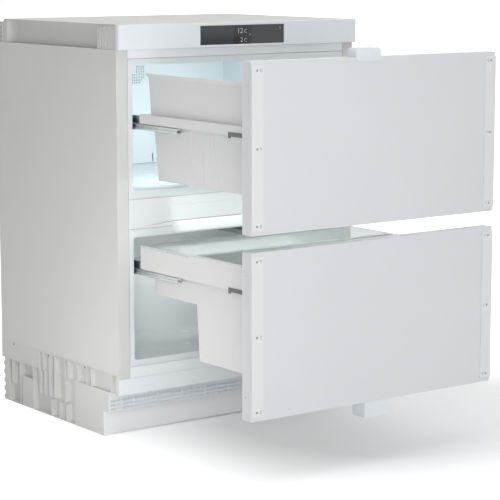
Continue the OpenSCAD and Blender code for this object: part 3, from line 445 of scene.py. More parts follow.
FINISHES: tuple[Finish | GlassFinish, ...] = (
    # The side, front, frame and divider finishes are one white enamel: the sides' copy is darker
    # and warmer than the fronts' as painted shade
    Finish("side_enamel_painted_shade", (0.69, 0.685, 0.67), roughness=0.42, weave=Weave.ORANGE_PEEL,
           relief_scale=420.0, relief_depth=0.03 * MM, drift=0.02),
    Finish("front_enamel", (0.755, 0.775, 0.795), roughness=0.36, weave=Weave.ORANGE_PEEL,
           relief_scale=420.0, relief_depth=0.02 * MM, drift=0.012),
    # The frame's and divider's copies of the same white enamel are lighter than the fronts:
    # painted light for the shade behind the drawers
    Finish("frame_enamel_painted_light", (0.89, 0.92, 0.945), roughness=0.35, weave=Weave.ORANGE_PEEL,
           relief_scale=420.0, relief_depth=0.02 * MM, drift=0.015),
    Finish("divider_enamel_painted_light", (0.82, 0.84, 0.85), roughness=0.35, weave=Weave.ORANGE_PEEL,
           relief_scale=420.0, relief_depth=0.02 * MM, drift=0.015),
    Finish("rear_sheet", (0.60, 0.61, 0.61), roughness=0.45, weave=Weave.ORANGE_PEEL,
           relief_scale=500.0, drift=0.03, dust=0.1),
    Finish("zinc_steel", (0.56, 0.58, 0.58), roughness=0.38, metallic=1.0,
           weave=Weave.BRUSHED_Y, relief_scale=2600.0, relief_depth=0.015 * MM, drift=0.08,
           drift_scale=40.0, dust=0.04),
    Finish("rail_steel", (0.47, 0.505, 0.50), roughness=0.36, metallic=1.0,
           weave=Weave.BRUSHED_Y, relief_scale=2600.0, relief_depth=0.012 * MM, drift=0.08,
           drift_scale=30.0, dust=0.03),
    Finish("white_plastic", (0.82, 0.85, 0.885), roughness=0.46, relief_depth=0.03 * MM),
    # The plinth's plastic is a lighter copy of white_plastic: painted light for the shade under
    # the drawers
    Finish("plinth_plastic_painted_light", (0.90, 0.905, 0.915), roughness=0.5, relief_depth=0.04 * MM),
    Finish("strip_plastic", (0.82, 0.83, 0.84), roughness=0.5, relief_depth=0.03 * MM),
    Finish("top_plastic", (0.64, 0.635, 0.61), roughness=0.52, relief_depth=0.05 * MM, dust=0.1),
    Finish("base_plastic", (0.69, 0.69, 0.675), roughness=0.5, relief_depth=0.05 * MM, dust=0.1),
    Finish("liner_plastic", (0.78, 0.82, 0.83), roughness=0.22, relief_scale=160.0,
           relief_depth=0.03 * MM, weave=Weave.ORANGE_PEEL, drift=0.015),
    Finish("bin_plastic", (0.73, 0.73, 0.72), roughness=0.34, relief_scale=700.0,
           relief_depth=0.02 * MM, drift=0.015),
    Finish("display_black", (0.032, 0.037, 0.042), roughness=0.12, weave=Weave.NONE, dust=0.0),
    Finish("display_zone", (0.010, 0.012, 0.014), roughness=0.10, weave=Weave.NONE, dust=0.0),
    Finish("display_light", (0.5, 0.51, 0.53), roughness=0.4, weave=Weave.NONE, dust=0.0,
           glow=(0.9, 0.95, 1.0), glow_strength=0.26),
    Finish("lamp_cover", (0.80, 0.83, 0.84), roughness=0.4, relief_depth=0.01 * MM, dust=0.0,
           glow=(0.93, 0.99, 1.0), glow_strength=0.30, glow_end=165.0 * MM),
    Finish("dark_plastic", (0.085, 0.09, 0.092), roughness=0.48, relief_depth=0.05 * MM),
    Finish("cage_plastic", (0.52, 0.53, 0.53), roughness=0.5, relief_depth=0.02 * MM),
    Finish("black_plastic", (0.02, 0.02, 0.022), roughness=0.45, relief_depth=0.05 * MM),
    Finish("lid_edge", (0.62, 0.70, 0.67), roughness=0.25, weave=Weave.NONE, dust=0.02),
    Finish("clip_plastic", (0.13, 0.135, 0.13), roughness=0.5, relief_depth=0.05 * MM),
    Finish("black_enamel", (0.018, 0.018, 0.02), roughness=0.28, coat=0.3,
           weave=Weave.ORANGE_PEEL, relief_scale=220.0, relief_depth=0.08 * MM, dust=0.25),
    Finish("board_green", (0.03, 0.14, 0.07), roughness=0.35, weave=Weave.NONE),
    Finish("seal_rubber", (0.62, 0.64, 0.65), roughness=0.62, specular=0.3,
           relief_depth=0.04 * MM, dust=0.12),
    Finish("mount_rubber", (0.035, 0.035, 0.036), roughness=0.75, relief_depth=0.08 * MM),
    Finish("copper_pipe", (0.80, 0.42, 0.26), roughness=0.26, metallic=1.0, drift=0.12,
           drift_scale=25.0, weave=Weave.NONE),
    Finish("insulating_foam", (0.80, 0.78, 0.70), roughness=0.9, relief_scale=260.0,
           relief_depth=0.6 * MM, drift=0.08, drift_scale=20.0),
    Finish("fin_aluminium", (0.80, 0.81, 0.82), roughness=0.28, metallic=1.0,
           weave=Weave.BRUSHED_X, relief_scale=1800.0, drift=0.05),
    GlassFinish("lid_glass", (0.88, 0.94, 0.93), roughness=0.06, clarity=0.4),
)

NODE_FINISH = {
    "side_enamel_painted_shade": ("left_side_panel", "right_side_panel"),
    "front_enamel": ("upper_front_skin", "lower_front_skin"),
    "frame_enamel_painted_light": ("cross_rails",),
    "divider_enamel_painted_light": ("divider_cover",),
    "rear_sheet": ("rear_panel",),
    "zinc_steel": ("bottom_shell", "upper_strip_screws", "lower_strip_screws"),
    "rail_steel": ("fixed_rails", "upper_drawer_rails", "lower_drawer_rails"),
    "white_plastic": ("fascia", "upper_front_liner", "lower_front_liner", "vent_grille",
                      "upper_top_bracket", "lower_bottom_bracket", "cabin_fan"),
    "plinth_plastic_painted_light": ("plinth_panel",),
    "strip_plastic": ("upper_trim_strips", "lower_trim_strips"),
    "top_plastic": ("top_plate", "top_beams", "top_corner_blocks", "drip_tray"),
    "base_plastic": ("base_skirts", "base_floor", "base_walls"),
    "liner_plastic": ("upper_liner", "lower_liner", "air_duct_cover"),
    "bin_plastic": ("upper_bin", "lower_bin"),
    "display_black": ("display_glass",),
    "lamp_cover": ("lamp_covers",),
    "dark_plastic": ("foot_front_left", "foot_front_right", "foot_rear_left", "foot_rear_right",
                     "fan_shroud"),
    "black_plastic": ("condenser_fan", "mains_inlet"),
    "clip_plastic": ("upper_rail_clips", "lower_rail_clips"),
    "black_enamel": ("compressor", "condenser"),
    "board_green": ("control_board",),
    "seal_rubber": ("upper_gasket", "lower_gasket"),
    "mount_rubber": ("compressor_mounts",),
    "copper_pipe": ("refrigerant_pipes",),
    "insulating_foam": ("foam_insulation", "upper_front_foam", "lower_front_foam"),
    "fin_aluminium": ("evaporator",),
}

# Softened edges of the solids that show, by radius in millimetres
EDGE_RADIUS = {
    0.2: ("display_glass",),
    0.3: ("cross_rails", "upper_rail_clips", "lower_rail_clips", "upper_drawer_rails",
          "lower_drawer_rails"),
    0.4: ("left_side_panel", "right_side_panel", "upper_front_skin", "lower_front_skin",
          "upper_front_liner", "lower_front_liner", "fixed_rails", "lamp_covers"),
    0.5: ("vent_grille", "upper_trim_strips", "lower_trim_strips", "base_floor",
          "air_duct_cover"),
    0.6: ("base_skirts", "divider_cover", "drip_tray"),
    0.8: ("fascia", "top_plate", "top_beams", "top_corner_blocks", "base_walls", "plinth_panel",
          "upper_top_bracket", "mains_inlet", "fan_shroud"),
    0.9: ("upper_bin", "lower_bin"),
    1.0: ("lower_bottom_bracket",),
    1.2: ("upper_liner", "lower_liner"),
}


class Paint:
    """All finishes, and the dressing of the solids that keep their shape."""

    def __init__(self) -> None:
        """Builds every finish once."""
        effects = SurfaceEffects()
        self.finishes = {finish.name: finish.build(effects) for finish in FINISHES}

    def put(self, piece: bpy.types.Object, finish: str) -> bpy.types.Object:
        """Gives a piece one finish.

        Args:
            piece: the object.
            finish: the finish's name.

        Returns:
            The same object.
        """
        piece.data.materials.clear()
        piece.data.materials.append(self.finishes[finish])
        return piece

    def dress_solids(self) -> None:
        """Gives each solid its finish, and softens the edges of those that show."""
        for finish, nodes in NODE_FINISH.items():
            for node in nodes:
                self.put(frame["nodes"][node], finish)
        for radius, nodes in EDGE_RADIUS.items():
            for node in nodes:
                soften_edges(frame["nodes"][node], radius * MM)
        LOG.info("solids dressed: %d finishes", len(self.finishes))


def soften_edges(piece: bpy.types.Object, radius: float) -> None:
    """Rounds a piece's sharp edges with modifiers, so that they catch the light.

    Args:
        piece: the object.
        radius: radius of the rounding in metres.
    """
    weld = piece.modifiers.new("weld", "WELD")
    weld.merge_threshold = WELD_REACH
    flat = piece.modifiers.new("flat_faces", "DECIMATE")
    flat.decimate_type = "DISSOLVE"
    flat.angle_limit = FLAT_ANGLE
    bevel = piece.modifiers.new("soft_edge", "BEVEL")
    bevel.width = radius
    bevel.segments = ROUNDING_STEPS
    bevel.limit_method = "ANGLE"
    bevel.angle_limit = EDGE_ANGLE
    bevel.use_clamp_overlap = True
    bevel.harden_normals = False


# ---- Mesh helpers ----------------------------------------------------------------


class Shape:
    """A mesh under construction, in metres, in the frame of the solids."""

    def __init__(self) -> None:
        """Starts with no vertices."""
        self.bm = bmesh.new()

    def ring(self, points: Iterable[Point]) -> list[bmesh.types.BMVert]:
        """Adds vertices.

        Args:
            points: their places.

        Returns:
            The new vertices, in order.
        """
        return [self.bm.verts.new(point) for point in points]

    def skin(self, rings: Sequence[Sequence[bmesh.types.BMVert]], closed: bool = True) -> None:
        """Joins neighbouring rings of equal length with faces.

        Args:
            rings: the rings, in order.
            closed: whether each ring closes on itself.
        """
        for low, high in zip(rings, rings[1:]):
            count = len(low)
            for i in range(count if closed else count - 1):
                j = (i + 1) % count
                self.bm.faces.new((low[i], low[j], high[j], high[i]))

    def cap(self, ring: Sequence[bmesh.types.BMVert]) -> None:
        """Closes a ring with one face."""
        self.bm.faces.new(ring)

    def lathe(self, profile: Sequence[tuple[float, float]], at: Point, axis: str = "Z",
              sides: int = 32) -> None:
        """Turns a profile about an axis, with closed ends.

        Args:
            profile: radius and height along the axis of each point, from one end to the other.
            at: a point on the axis, where the height is 0.
            axis: X, Y or Z.
            sides: number of sides.
        """
        rings = []
        for radius, height in profile:
            points = []
            for i in range(sides):
                a = math.tau * i / sides
                u, v = radius * math.cos(a), radius * math.sin(a)
                step = {"X": (height, u, v), "Y": (u, height, -v), "Z": (u, v, height)}[axis]
                points.append(tuple(c + d for c, d in zip(at, step)))
            rings.append(self.ring(points))
        self.skin(rings)
        self.cap(rings[0])
        self.cap(rings[-1])

    def circle(self, at: Point, radius: float, sides: int) -> list[bmesh.types.BMVert]:
        """Adds a circle of vertices that faces along Y.

        Args:
            at: its middle.
            radius: its radius.
            sides: number of vertices.

        Returns:
            The new vertices, in order.
        """
        turns = [math.tau * i / sides for i in range(sides)]
        return self.ring((at[0] + radius * math.cos(turn), at[1], at[2] + radius * math.sin(turn))
                         for turn in turns)

    def hoop(self, profile: Sequence[tuple[float, float]], at: Point, sides: int) -> None:
        """Turns a closed profile about an axis along Y, so that the middle stays open.

        Args:
            profile: radius and height along Y of each point, once round.
            at: a point on the axis, where the height is 0.
            sides: number of sides.
        """
        rings = [self.circle((at[0], at[1] + y, at[2]), radius, sides) for radius, y in profile]
        rings.append(rings[0])
        self.skin(rings)

    def bar(self, section: Sequence[tuple[float, float]], y0: float, y1: float) -> None:
        """Extrudes a closed section along Y.

        Args:
            section: X and Z of each point.
            y0: front end.
            y1: rear end.
        """
        ends = [self.ring((x, y, z) for x, z in section) for y in (y0, y1)]
        self.skin(ends)
        for end in ends:
            self.cap(end)

    def block(self, low: Point, high: Point, radius: float = 0.0) -> None:
        """Adds a box with rounded edges.

        Args:
            low: lowest corner.
            high: highest corner.
            radius: radius of the edges.
        """
        made = bmesh.ops.create_cube(self.bm, size=1.0)["verts"]
        size = [h - l for l, h in zip(low, high)]
        middle = [(h + l) / 2 for l, h in zip(low, high)]
        for vert in made:
            vert.co = [m + s * c for m, s, c in zip(middle, size, vert.co)]
        if radius > 0:
            edges = list({edge for vert in made for edge in vert.link_edges})
            bmesh.ops.bevel(self.bm, geom=edges, offset=radius, segments=ROUNDING_STEPS,
                            profile=0.5, affect="EDGES")

    def finish(self, name: str, body: str, sharp: float = 35.0) -> bpy.types.Object:
        """Turns the shape into an object that rides on a body.

        Args:
            name: the piece's name.
            body: the body that it moves with.
            sharp: edges with a larger angle than this, in degrees, stay sharp.

        Returns:
            The new object.
        """
        bmesh.ops.recalc_face_normals(self.bm, faces=self.bm.faces)
        mesh = bpy.data.meshes.new(name)
        self.bm.to_mesh(mesh)
        self.bm.free()
        mesh.shade_smooth()
        mesh.set_sharp_from_angle(angle=math.radians(sharp))
        piece = bpy.data.objects.new(name, mesh)
        bpy.context.scene.collection.objects.link(piece)
        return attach(piece, body)


# The corners of a rectangle in order, as which of its two limits each takes
CORNERS = ((0, 0), (1, 0), (1, 1), (0, 1))


def span(node: str) -> tuple[Vector, Vector]:
    """Returns the lowest and highest corner of a solid."""
    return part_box(node)


# ---- Pieces ----------------------------------------------------------------------


@dataclass
class DoorSeal:
    """The bellows seal round the inner face of one drawer front."""

    drawer: str
    width: float = 12.0 * MM

    # Section: share of half the width outwards, and share of the depth from the front
    SECTION = ((-0.72, 0.0), (0.72, 0.0), (0.80, 0.10), (0.52, 0.20), (0.52, 0.28), (0.98, 0.38),
               (0.98, 0.46), (0.64, 0.54), (0.64, 0.60), (1.0, 0.70), (1.0, 0.92), (0.86, 1.0),
               (-0.86, 1.0), (-1.0, 0.92), (-1.0, 0.70), (-0.64, 0.60), (-0.64, 0.54),
               (-0.98, 0.46), (-0.98, 0.38), (-0.52, 0.28), (-0.52, 0.20), (-0.80, 0.10))

    def build(self, paint: Paint) -> bpy.types.Object:
        """Makes the seal with mitred corners in place of its plain solid.

        Args:
            paint: the finishes.

        Returns:
            The seal.
        """
        node = f"{self.drawer}_gasket"
        low, high = span(node)
        half = self.width / 2
        shape = Shape()
        rings = []
        for out, deep in self.SECTION:
            y = low.y + deep * (high.y - low.y)
            inset = half - out * half
            xs = (low.x + inset, high.x - inset)
            zs = (low.z + inset, high.z - inset)
            rings.append(shape.ring((xs[i], y, zs[j]) for i, j in CORNERS))
        rings.append(rings[0])
        shape.skin(rings)
        seal = shape.finish(f"{self.drawer}_door_seal", f"{self.drawer}_drawer", sharp=50.0)
        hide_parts(node)
        return paint.put(seal, "seal_rubber")


@dataclass
class MiddleRails:
    """The rolled middle members of one drawer's rails, with their ball cages' tongues."""

    drawer: str
    tongue_length: float = 12.0 * MM
    tongue_height: float = 3.2 * MM
    tongue_thickness: float = 0.8 * MM
    tongue_inset: float = 0.2 * MM
    tongue_top: float = 11.0 * MM
    tongue_overlap: float = 2.0 * MM
    tongue_rounding: float = 0.25 * MM
    rail_rounding: float = 0.3 * MM

    # Section: inwards from the outer face, and up from the lower edge, in millimetres
    SECTION = ((1.2, 0.0), (0.0, 1.2), (0.0, 4.4), (1.1, 5.2), (1.1, 7.0), (0.0, 7.8), (0.0, 10.2),
               (1.0, 11.2), (4.5, 11.2), (4.5, 26.7), (8.5, 26.7), (8.5, 11.2), (9.0, 11.2),
               (10.0, 10.2), (10.0, 1.2), (8.8, 0.0), (8.5, 0.0), (8.5, 9.7), (1.6, 9.7),
               (1.6, 0.0))

    def build(self, paint: Paint) -> bpy.types.Object:
        """Makes both rails in place of their plain solids.

        Args:
            paint: the finishes.

        Returns:
            The rails.
        """
        node = f"{self.drawer}_middle_rails"
        body = f"{self.drawer}_rail_members"
        low, high = span(node)
        rails, tongues = Shape(), Shape()
        for side in (-1.0, 1.0):
            outer = side * high.x
            section = [(outer - side * u * MM, low.z + v * MM) for u, v in self.SECTION]
            rails.bar(section, low.y, high.y)
            faces = (self.tongue_inset, self.tongue_inset + self.tongue_thickness)
            left, right = sorted(outer - side * face for face in faces)
            top = low.z + self.tongue_top
            tongues.block((left, low.y - self.tongue_length, top - self.tongue_height),
                          (right, low.y + self.tongue_overlap, top), self.tongue_rounding)
        members = rails.finish(f"{self.drawer}_rolled_rails", body, sharp=50.0)
        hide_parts(node)
        soften_edges(members, self.rail_rounding)
        cages = tongues.finish(f"{self.drawer}_ball_cages", body)
        paint.put(cages, "cage_plastic")
        return paint.put(members, "rail_steel")


@dataclass
class GlassLid:
    """The lid's pane, clear on its faces and ground along its edges."""

    edge: float = 0.6 * MM

    # A face whose normal's Z is beyond this is clear, and the rest are ground
    LEVEL = 0.9

    def build(self, paint: Paint) -> bpy.types.Object:
        """Makes the pane in place of its plain solid.

        Args:
            paint: the finishes.

        Returns:
            The pane.
        """
        low, high = span("lower_lid")
        shape = Shape()
        rings = []
        for inset, z in ((self.edge, low.z), (0.0, low.z + self.edge), (0.0, high.z - self.edge),
                         (self.edge, high.z)):
            xs = (low.x + inset, high.x - inset)
            ys = (low.y + inset, high.y - inset)
            rings.append(shape.ring((xs[i], ys[j], z) for i, j in CORNERS))
        shape.skin(rings)
        shape.cap(rings[0])
        shape.cap(rings[-1])
        pane = shape.finish("glass_lid_pane", "lower_drawer")
        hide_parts("lower_lid")
        paint.put(pane, "lid_glass")
        pane.data.materials.append(paint.finishes["lid_edge"])
        for face in pane.data.polygons:
            face.material_index = 0 if abs(face.normal.z) > self.LEVEL else 1
        return pane


@dataclass
class SkirtScrews:
    """The dark pan-head screws that hold the skirts under the side panels."""

    head_radius: float = 2.4 * MM
    sunk: float = 0.3 * MM
    below_top: float = 4.0 * MM
    length: float = 7.0 * MM
    rim_height: float = 0.5 * MM
    flat_share: float = 0.7
    dimple_radius: float = 0.6 * MM
    dimple_depth: float = 0.4 * MM

    # Distance of each screw from the cabinet's front edge, in millimetres
    PLACES = (132.0, 279.0, 427.0)

    def build(self, paint: Paint) -> bpy.types.Object:
        """Makes all six screws as one piece.

        Args:
            paint: the finishes.

        Returns:
            The screws.
        """
        low, high = span("base_skirts")
        front = span("left_side_panel")[0].y
        profile = ((self.dimple_radius, self.dimple_depth),
                   (self.head_radius * self.flat_share, 0.0),
                   (self.head_radius, self.rim_height), (self.head_radius, self.length))
        shape = Shape()
        for side, edge in ((-1.0, low.x), (1.0, high.x)):
            for place in self.PLACES:
                shape.lathe([(radius, -side * depth) for radius, depth in profile],
                            (edge - side * self.sunk, front + place * MM,
                             high.z - self.below_top), axis="X", sides=20)
        screws = shape.finish("skirt_screws", "cabinet")
        return paint.put(screws, "black_plastic")


@dataclass
class StripScrews:
    """The cross-head screws that hold the mounting strips on one drawer front."""

    drawer: str
    head_radius: float = 3.5 * MM
    head_height: float = 0.9 * MM
    shank_radius: float = 1.5 * MM
    slot_reach: float = 1.9 * MM
    slot_half: float = 0.42 * MM
    slot_depth: float = 0.7 * MM
    slot_taper: float = 0.7
    face_share: float = 0.82
    rim_share: float = 0.45
    sides: int = 32

    def build(self, paint: Paint) -> bpy.types.Object:
        """Makes all six screws as one piece.

        Args:
            paint: the finishes.

        Returns:
            The screws.
        """
        node = f"{self.drawer}_strip_screws"
        low, high = span(node)
        r = self.head_radius
        shape = Shape()
        for x in (low.x + r, high.x - r):
            for z in (low.z + r, (low.z + high.z) / 2, high.z - r):
                self._screw(shape, x, low.y, z, high.y - low.y)
        screws = shape.finish(f"{self.drawer}_cross_screws", f"{self.drawer}_drawer")
        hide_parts(node)
        return paint.put(screws, "zinc_steel")

    def _screw(self, shape: Shape, x: float, y: float, z: float, length: float) -> None:
        """Adds one screw whose head faces -Y.

        Args:
            shape: the mesh to add to.
            x: the screw's place.
            y: the head's face.
            z: the screw's height.
            length: head and shank together.
        """
        a, b = self.slot_half, self.slot_reach
        cross = ((a, a), (a, b), (-a, b), (-a, a), (-b, a), (-b, -a),
                 (-a, -a), (-a, -b), (a, -b), (a, -a), (b, -a), (b, a))
        head, shank, taper = self.head_radius, self.shank_radius, self.slot_taper
        rings = [shape.circle((x, y + depth, z), radius, self.sides) for radius, depth in (
            (head * self.face_share, 0.0), (head, self.head_height * self.rim_share),
            (head, self.head_height), (shank, self.head_height), (shank, length))]
        mouth = shape.ring((x + u, y, z + v) for u, v in cross)
        foot = shape.ring((x + u * taper, y + self.slot_depth, z + v * taper) for u, v in cross)
        edges = [shape.bm.edges.new((ring[i], ring[(i + 1) % len(ring)]))
                 for ring in (rings[0], mouth) for i in range(len(ring))]
        bmesh.ops.triangle_fill(shape.bm, edges=edges, use_beauty=True)
        shape.skin((mouth, foot))
        shape.cap(foot)
        shape.skin(rings)
        shape.cap(rings[-1])


@dataclass
class Display:
    """The lit signs and the darker middle field of the display glass."""

    field_half: float = 23.0 * MM
    field_margin: float = 0.6 * MM
    field_proud: float = 0.05 * MM
    field_sunk: float = 0.3 * MM
    sign_depth: float = 0.12 * MM
    sign_sunk: float = 0.1 * MM
    stroke_offset: float = -0.02
    dot_radius: float = 0.8 * MM
    ring_radius: float = 1.7 * MM
    ring_width: float = 0.3 * MM

    # Middle of the dot and of the ring, across and up from the glass's middle, in millimetres
    DOT = (18.7, -0.7)
    RING = (95.7, 11.7)

    # Signs: text, and its left, right, bottom and top from the glass's middle, in millimetres
    SIGNS = (("12", -10.7, 0.0, 3.0, 12.8), ("C", 4.2, 10.2, 3.4, 10.5),
             ("2", -5.3, 0.3, -15.0, -6.4), ("C", 4.6, 10.2, -15.0, -8.4))

    def build(self, paint: Paint) -> list[bpy.types.Object]:
        """Makes the field and the signs on the glass's face.

        Args:
            paint: the finishes.

        Returns:
            The new pieces.
        """
        low, high = span("display_glass")
        middle = (low + high) / 2
        shape = Shape()
        face = low.y - self.field_proud
        shape.block((-self.field_half, face, low.z + self.field_margin),
                    (self.field_half, low.y + self.field_sunk, high.z - self.field_margin))
        field = shape.finish("display_field", "cabinet")
        pieces = [paint.put(field, "display_zone")]
        for index, (text, left, right, bottom, top) in enumerate(self.SIGNS):
            sign = self._sign(f"display_sign_{index}", text, face,
                              (left * MM, right * MM),
                              (middle.z + bottom * MM, middle.z + top * MM))
            pieces.append(paint.put(sign, "display_light"))
        shape = Shape()
        shape.lathe(((self.dot_radius, -self.sign_depth), (self.dot_radius, self.sign_sunk)),
                    (self.DOT[0] * MM, face, middle.z + self.DOT[1] * MM), axis="Y", sides=20)
        outer, inner = self.ring_radius, self.ring_radius - self.ring_width
        shape.hoop(((outer, 0.0), (outer, -self.sign_depth), (inner, -self.sign_depth),
                    (inner, 0.0)),
                   (self.RING[0] * MM, face, middle.z + self.RING[1] * MM), sides=24)
        marks = shape.finish("display_marks", "cabinet")
        pieces.append(paint.put(marks, "display_light"))
        return pieces

    def _sign(self, name: str, text: str, face: float, across: tuple[float, float],
              height: tuple[float, float]) -> bpy.types.Object:
        """Makes one sign as a thin mesh, fitted to its place.

        Args:
            name: the piece's name.
            text: the sign.
            face: Y of the surface that it sits on.
            across: left and right edge.
            height: bottom and top edge.

        Returns:
            The sign.
        """
        curve = bpy.data.curves.new(name, "FONT")
        curve.body = text
        curve.resolution_u = 4
        curve.extrude = 0.5
        curve.offset = self.stroke_offset
        draft = bpy.data.objects.new(name + "_draft", curve)
        bpy.context.scene.collection.objects.link(draft)
        graph = bpy.context.evaluated_depsgraph_get()
        mesh = bpy.data.meshes.new_from_object(draft.evaluated_get(graph))
        bpy.data.objects.remove(draft)
        xs = [vert.co.x for vert in mesh.vertices]
        ys = [vert.co.y for vert in mesh.vertices]
        wide = (across[1] - across[0]) / (max(xs) - min(xs))
        tall = (height[1] - height[0]) / (max(ys) - min(ys))
        for vert in mesh.vertices:
            x, y, z = vert.co
            vert.co = (across[0] + (x - min(xs)) * wide, face - self.sign_depth * (z + 0.5),
                       height[0] + (y - min(ys)) * tall)
        mesh.name = name
        sign = bpy.data.objects.new(name, mesh)
        bpy.context.scene.collection.objects.link(sign)
        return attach(sign, "cabinet")


@dataclass
class FanRotor:
    """A moulded axial fan with curved, twisted blades."""

    node: str
    body: str
    finish: str
    slot: str
    hub_radius: float
    tip_radius: float
    bore_radius: float
    depth: float
    blades: int = 7
    hub_wall: float = 1.5 * MM
    hub_rounding: float = 1.2 * MM
    hub_floor: float = 2.4 * MM
    boss_wall: float = 1.6 * MM
    hub_sides: int = 48
    blade_thickness: float = 0.6 * MM
    blade_root: float = 0.6 * MM
    blade_edge: float = 0.08 * MM
    sweep: float = 0.5
    cover_at_hub: float = 0.62
    cover_gain: float = 0.25
    camber: float = 0.16
    pitch: float = 0.95
    pitch_easing: float = 0.35
    room: float = 1.12

    # Rows of vertices from hub to tip, and vertices in each row
    GRID = (6, 7)

    def build(self, paint: Paint) -> bpy.types.Object:
        """Makes the rotor in place of its plain solid.

        Args:
            paint: the finishes.

        Returns:
            The rotor.
        """
        joint = next(j for j in frame["joints"] if j["child"] == self.body)
        centre = Vector(joint["pos_m"])
        centre.y = sum((corner.y for corner in span(self.node)), 0.0) / 2
        shape = Shape()
        half = self.depth / 2
        hub, bore = self.hub_radius, self.bore_radius
        cup, boss, floor = hub - self.hub_wall, bore + self.boss_wall, -half + self.hub_floor
        shape.hoop(((bore, -half), (hub - self.hub_rounding, -half),
                    (hub, -half + self.hub_rounding), (hub, half), (cup, half), (cup, floor),
                    (boss, floor), (boss, half), (bore, half)), centre, self.hub_sides)
        for index in range(self.blades):
            self._blade(shape, centre, math.tau * index / self.blades)
        rotor = shape.finish(f"{self.node}_rotor", self.body)
        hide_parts(self.node)
        return paint.put(rotor, self.finish)

    def _blade(self, shape: Shape, centre: Vector, turn: float) -> None:
        """Adds one blade, thin and cambered, with its pitch easing towards the tip.

        Args:
            shape: the mesh to add to.
            centre: the rotor's centre.
            turn: the blade's place round the hub.
        """
        spans, chords = self.GRID
        thick = self.blade_thickness
        limit = self.depth / 2 - thick
        root = self.hub_radius - self.blade_root
        surfaces: list[list[list[bmesh.types.BMVert]]] = []
        for side in (-1.0, 1.0):
            rows = []
            for i in range(spans):
                share = i / (spans - 1)
                radius = root + share * (self.tip_radius - self.hub_radius)
                sweep = self.sweep * share * share
                pitch = self.pitch * (1 - self.pitch_easing * share)
                cover = self.cover_at_hub + self.cover_gain * share
                reach = cover * math.tau / self.blades / 2
                row = []
                for j in range(chords):
                    along = 2 * j / (chords - 1) - 1
                    angle = turn + sweep + reach * along
                    bulge = 1 - along * along
                    y = limit * (pitch * along + self.camber * bulge) / self.room
                    edge = thick * bulge ** 0.5 * 0.5 + self.blade_edge
                    row.append((centre.x + radius * math.cos(angle), centre.y + y + side * edge,
                                centre.z + radius * math.sin(angle)))
                rows.append(shape.ring(row))
            surfaces.append(rows)
        low, high = surfaces
        shape.skin(low, closed=False)
        shape.skin(high, closed=False)
        shape.skin((self._border(low), self._border(high)))

    @staticmethod
    def _border(rows: list[list[bmesh.types.BMVert]]) -> list[bmesh.types.BMVert]:
        """Follows a grid's border.

        Args:
            rows: the grid's rows of vertices.

        Returns:
            The border's vertices, once round.
        """
        left = [row[0] for row in rows[1:-1]]
        right = [row[-1] for row in rows[1:-1]]
        return rows[0] + right + rows[-1][::-1] + left[::-1]


@dataclass
class Foot:
    """One adjustable foot: threaded stem, hexagon and stepped pad."""

    name: str
    stem_radius: float = 5.0 * MM
    thread_pitch: float = 1.5 * MM
    thread_depth: float = 0.55 * MM
    pad_radius: float = 15.0 * MM
    pad_height: float = 4.0 * MM
    hex_top: float = 6.0 * MM
    hex_radius: float = 8.0 * MM
    hex_rounding: float = 0.6 * MM
    overlap: float = 0.5 * MM
    pad_shoulder: float = 1.4 * MM

    # The pad's rim: how far in from the pad's radius, and height, in millimetres
    PAD = ((1.2, 0.0), (0.0, 1.0), (0.0, 2.6))

    def build(self, paint: Paint) -> bpy.types.Object:
        """Makes the foot in place of its plain solid.

        Args:
            paint: the finishes.

        Returns:
            The foot.
        """
        low, high = span(self.name)
        at = ((low.x + high.x) / 2, (low.y + high.y) / 2, low.z)
        shape = Shape()
        pad, nut = self.pad_radius, self.hex_radius
        rim = [(pad - less * MM, height * MM) for less, height in self.PAD]
        shape.lathe([*rim, (pad - self.pad_shoulder, self.pad_height), (nut, self.pad_height)],
                    at, sides=48)
        shape.lathe(((nut, self.pad_height - self.overlap), (nut, self.hex_top - self.overlap),
                     (nut - self.hex_rounding, self.hex_top)), at, sides=6)
        core = self.stem_radius - self.thread_depth
        profile = [(core, self.hex_top - self.overlap)]
        height = self.hex_top + self.overlap
        top = high.z - low.z
        while height + self.thread_pitch < top:
            profile.append((core, height))
            profile.append((self.stem_radius, height + 0.5 * self.thread_pitch))
            height += self.thread_pitch
        profile.append((core, top))
        shape.lathe(profile, at, sides=24)
        foot = shape.finish(f"{self.name}_threaded", self.name)
        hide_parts(self.name)
        return paint.put(foot, "dark_plastic")


# ---- Studio ----------------------------------------------------------------------


WHITE = (1.0, 1.0, 1.0)


@dataclass(frozen=True)
class SoftBox:
    """One rectangular light that neither the camera nor gloss sees."""

    name: str
    at: Point
    aim: Point
    size: tuple[float, float]
    watts: float
    color: Color = WHITE

    def hang(self) -> None:
        """Adds the light to the scene, turned to the point that it lights."""
        data = bpy.data.lights.new(self.name, "AREA")
        data.shape = "RECTANGLE"
        data.size, data.size_y = self.size
        data.energy = self.watts
        data.color = self.color
        light = bpy.data.objects.new(self.name, data)
        light.location = self.at
        light.rotation_mode = "QUATERNION"
        light.rotation_quaternion = (Vector(self.aim) - Vector(self.at)).to_track_quat("-Z", "Y")
        light.visible_camera = False
        light.visible_glossy = False
        bpy.context.scene.collection.objects.link(light)


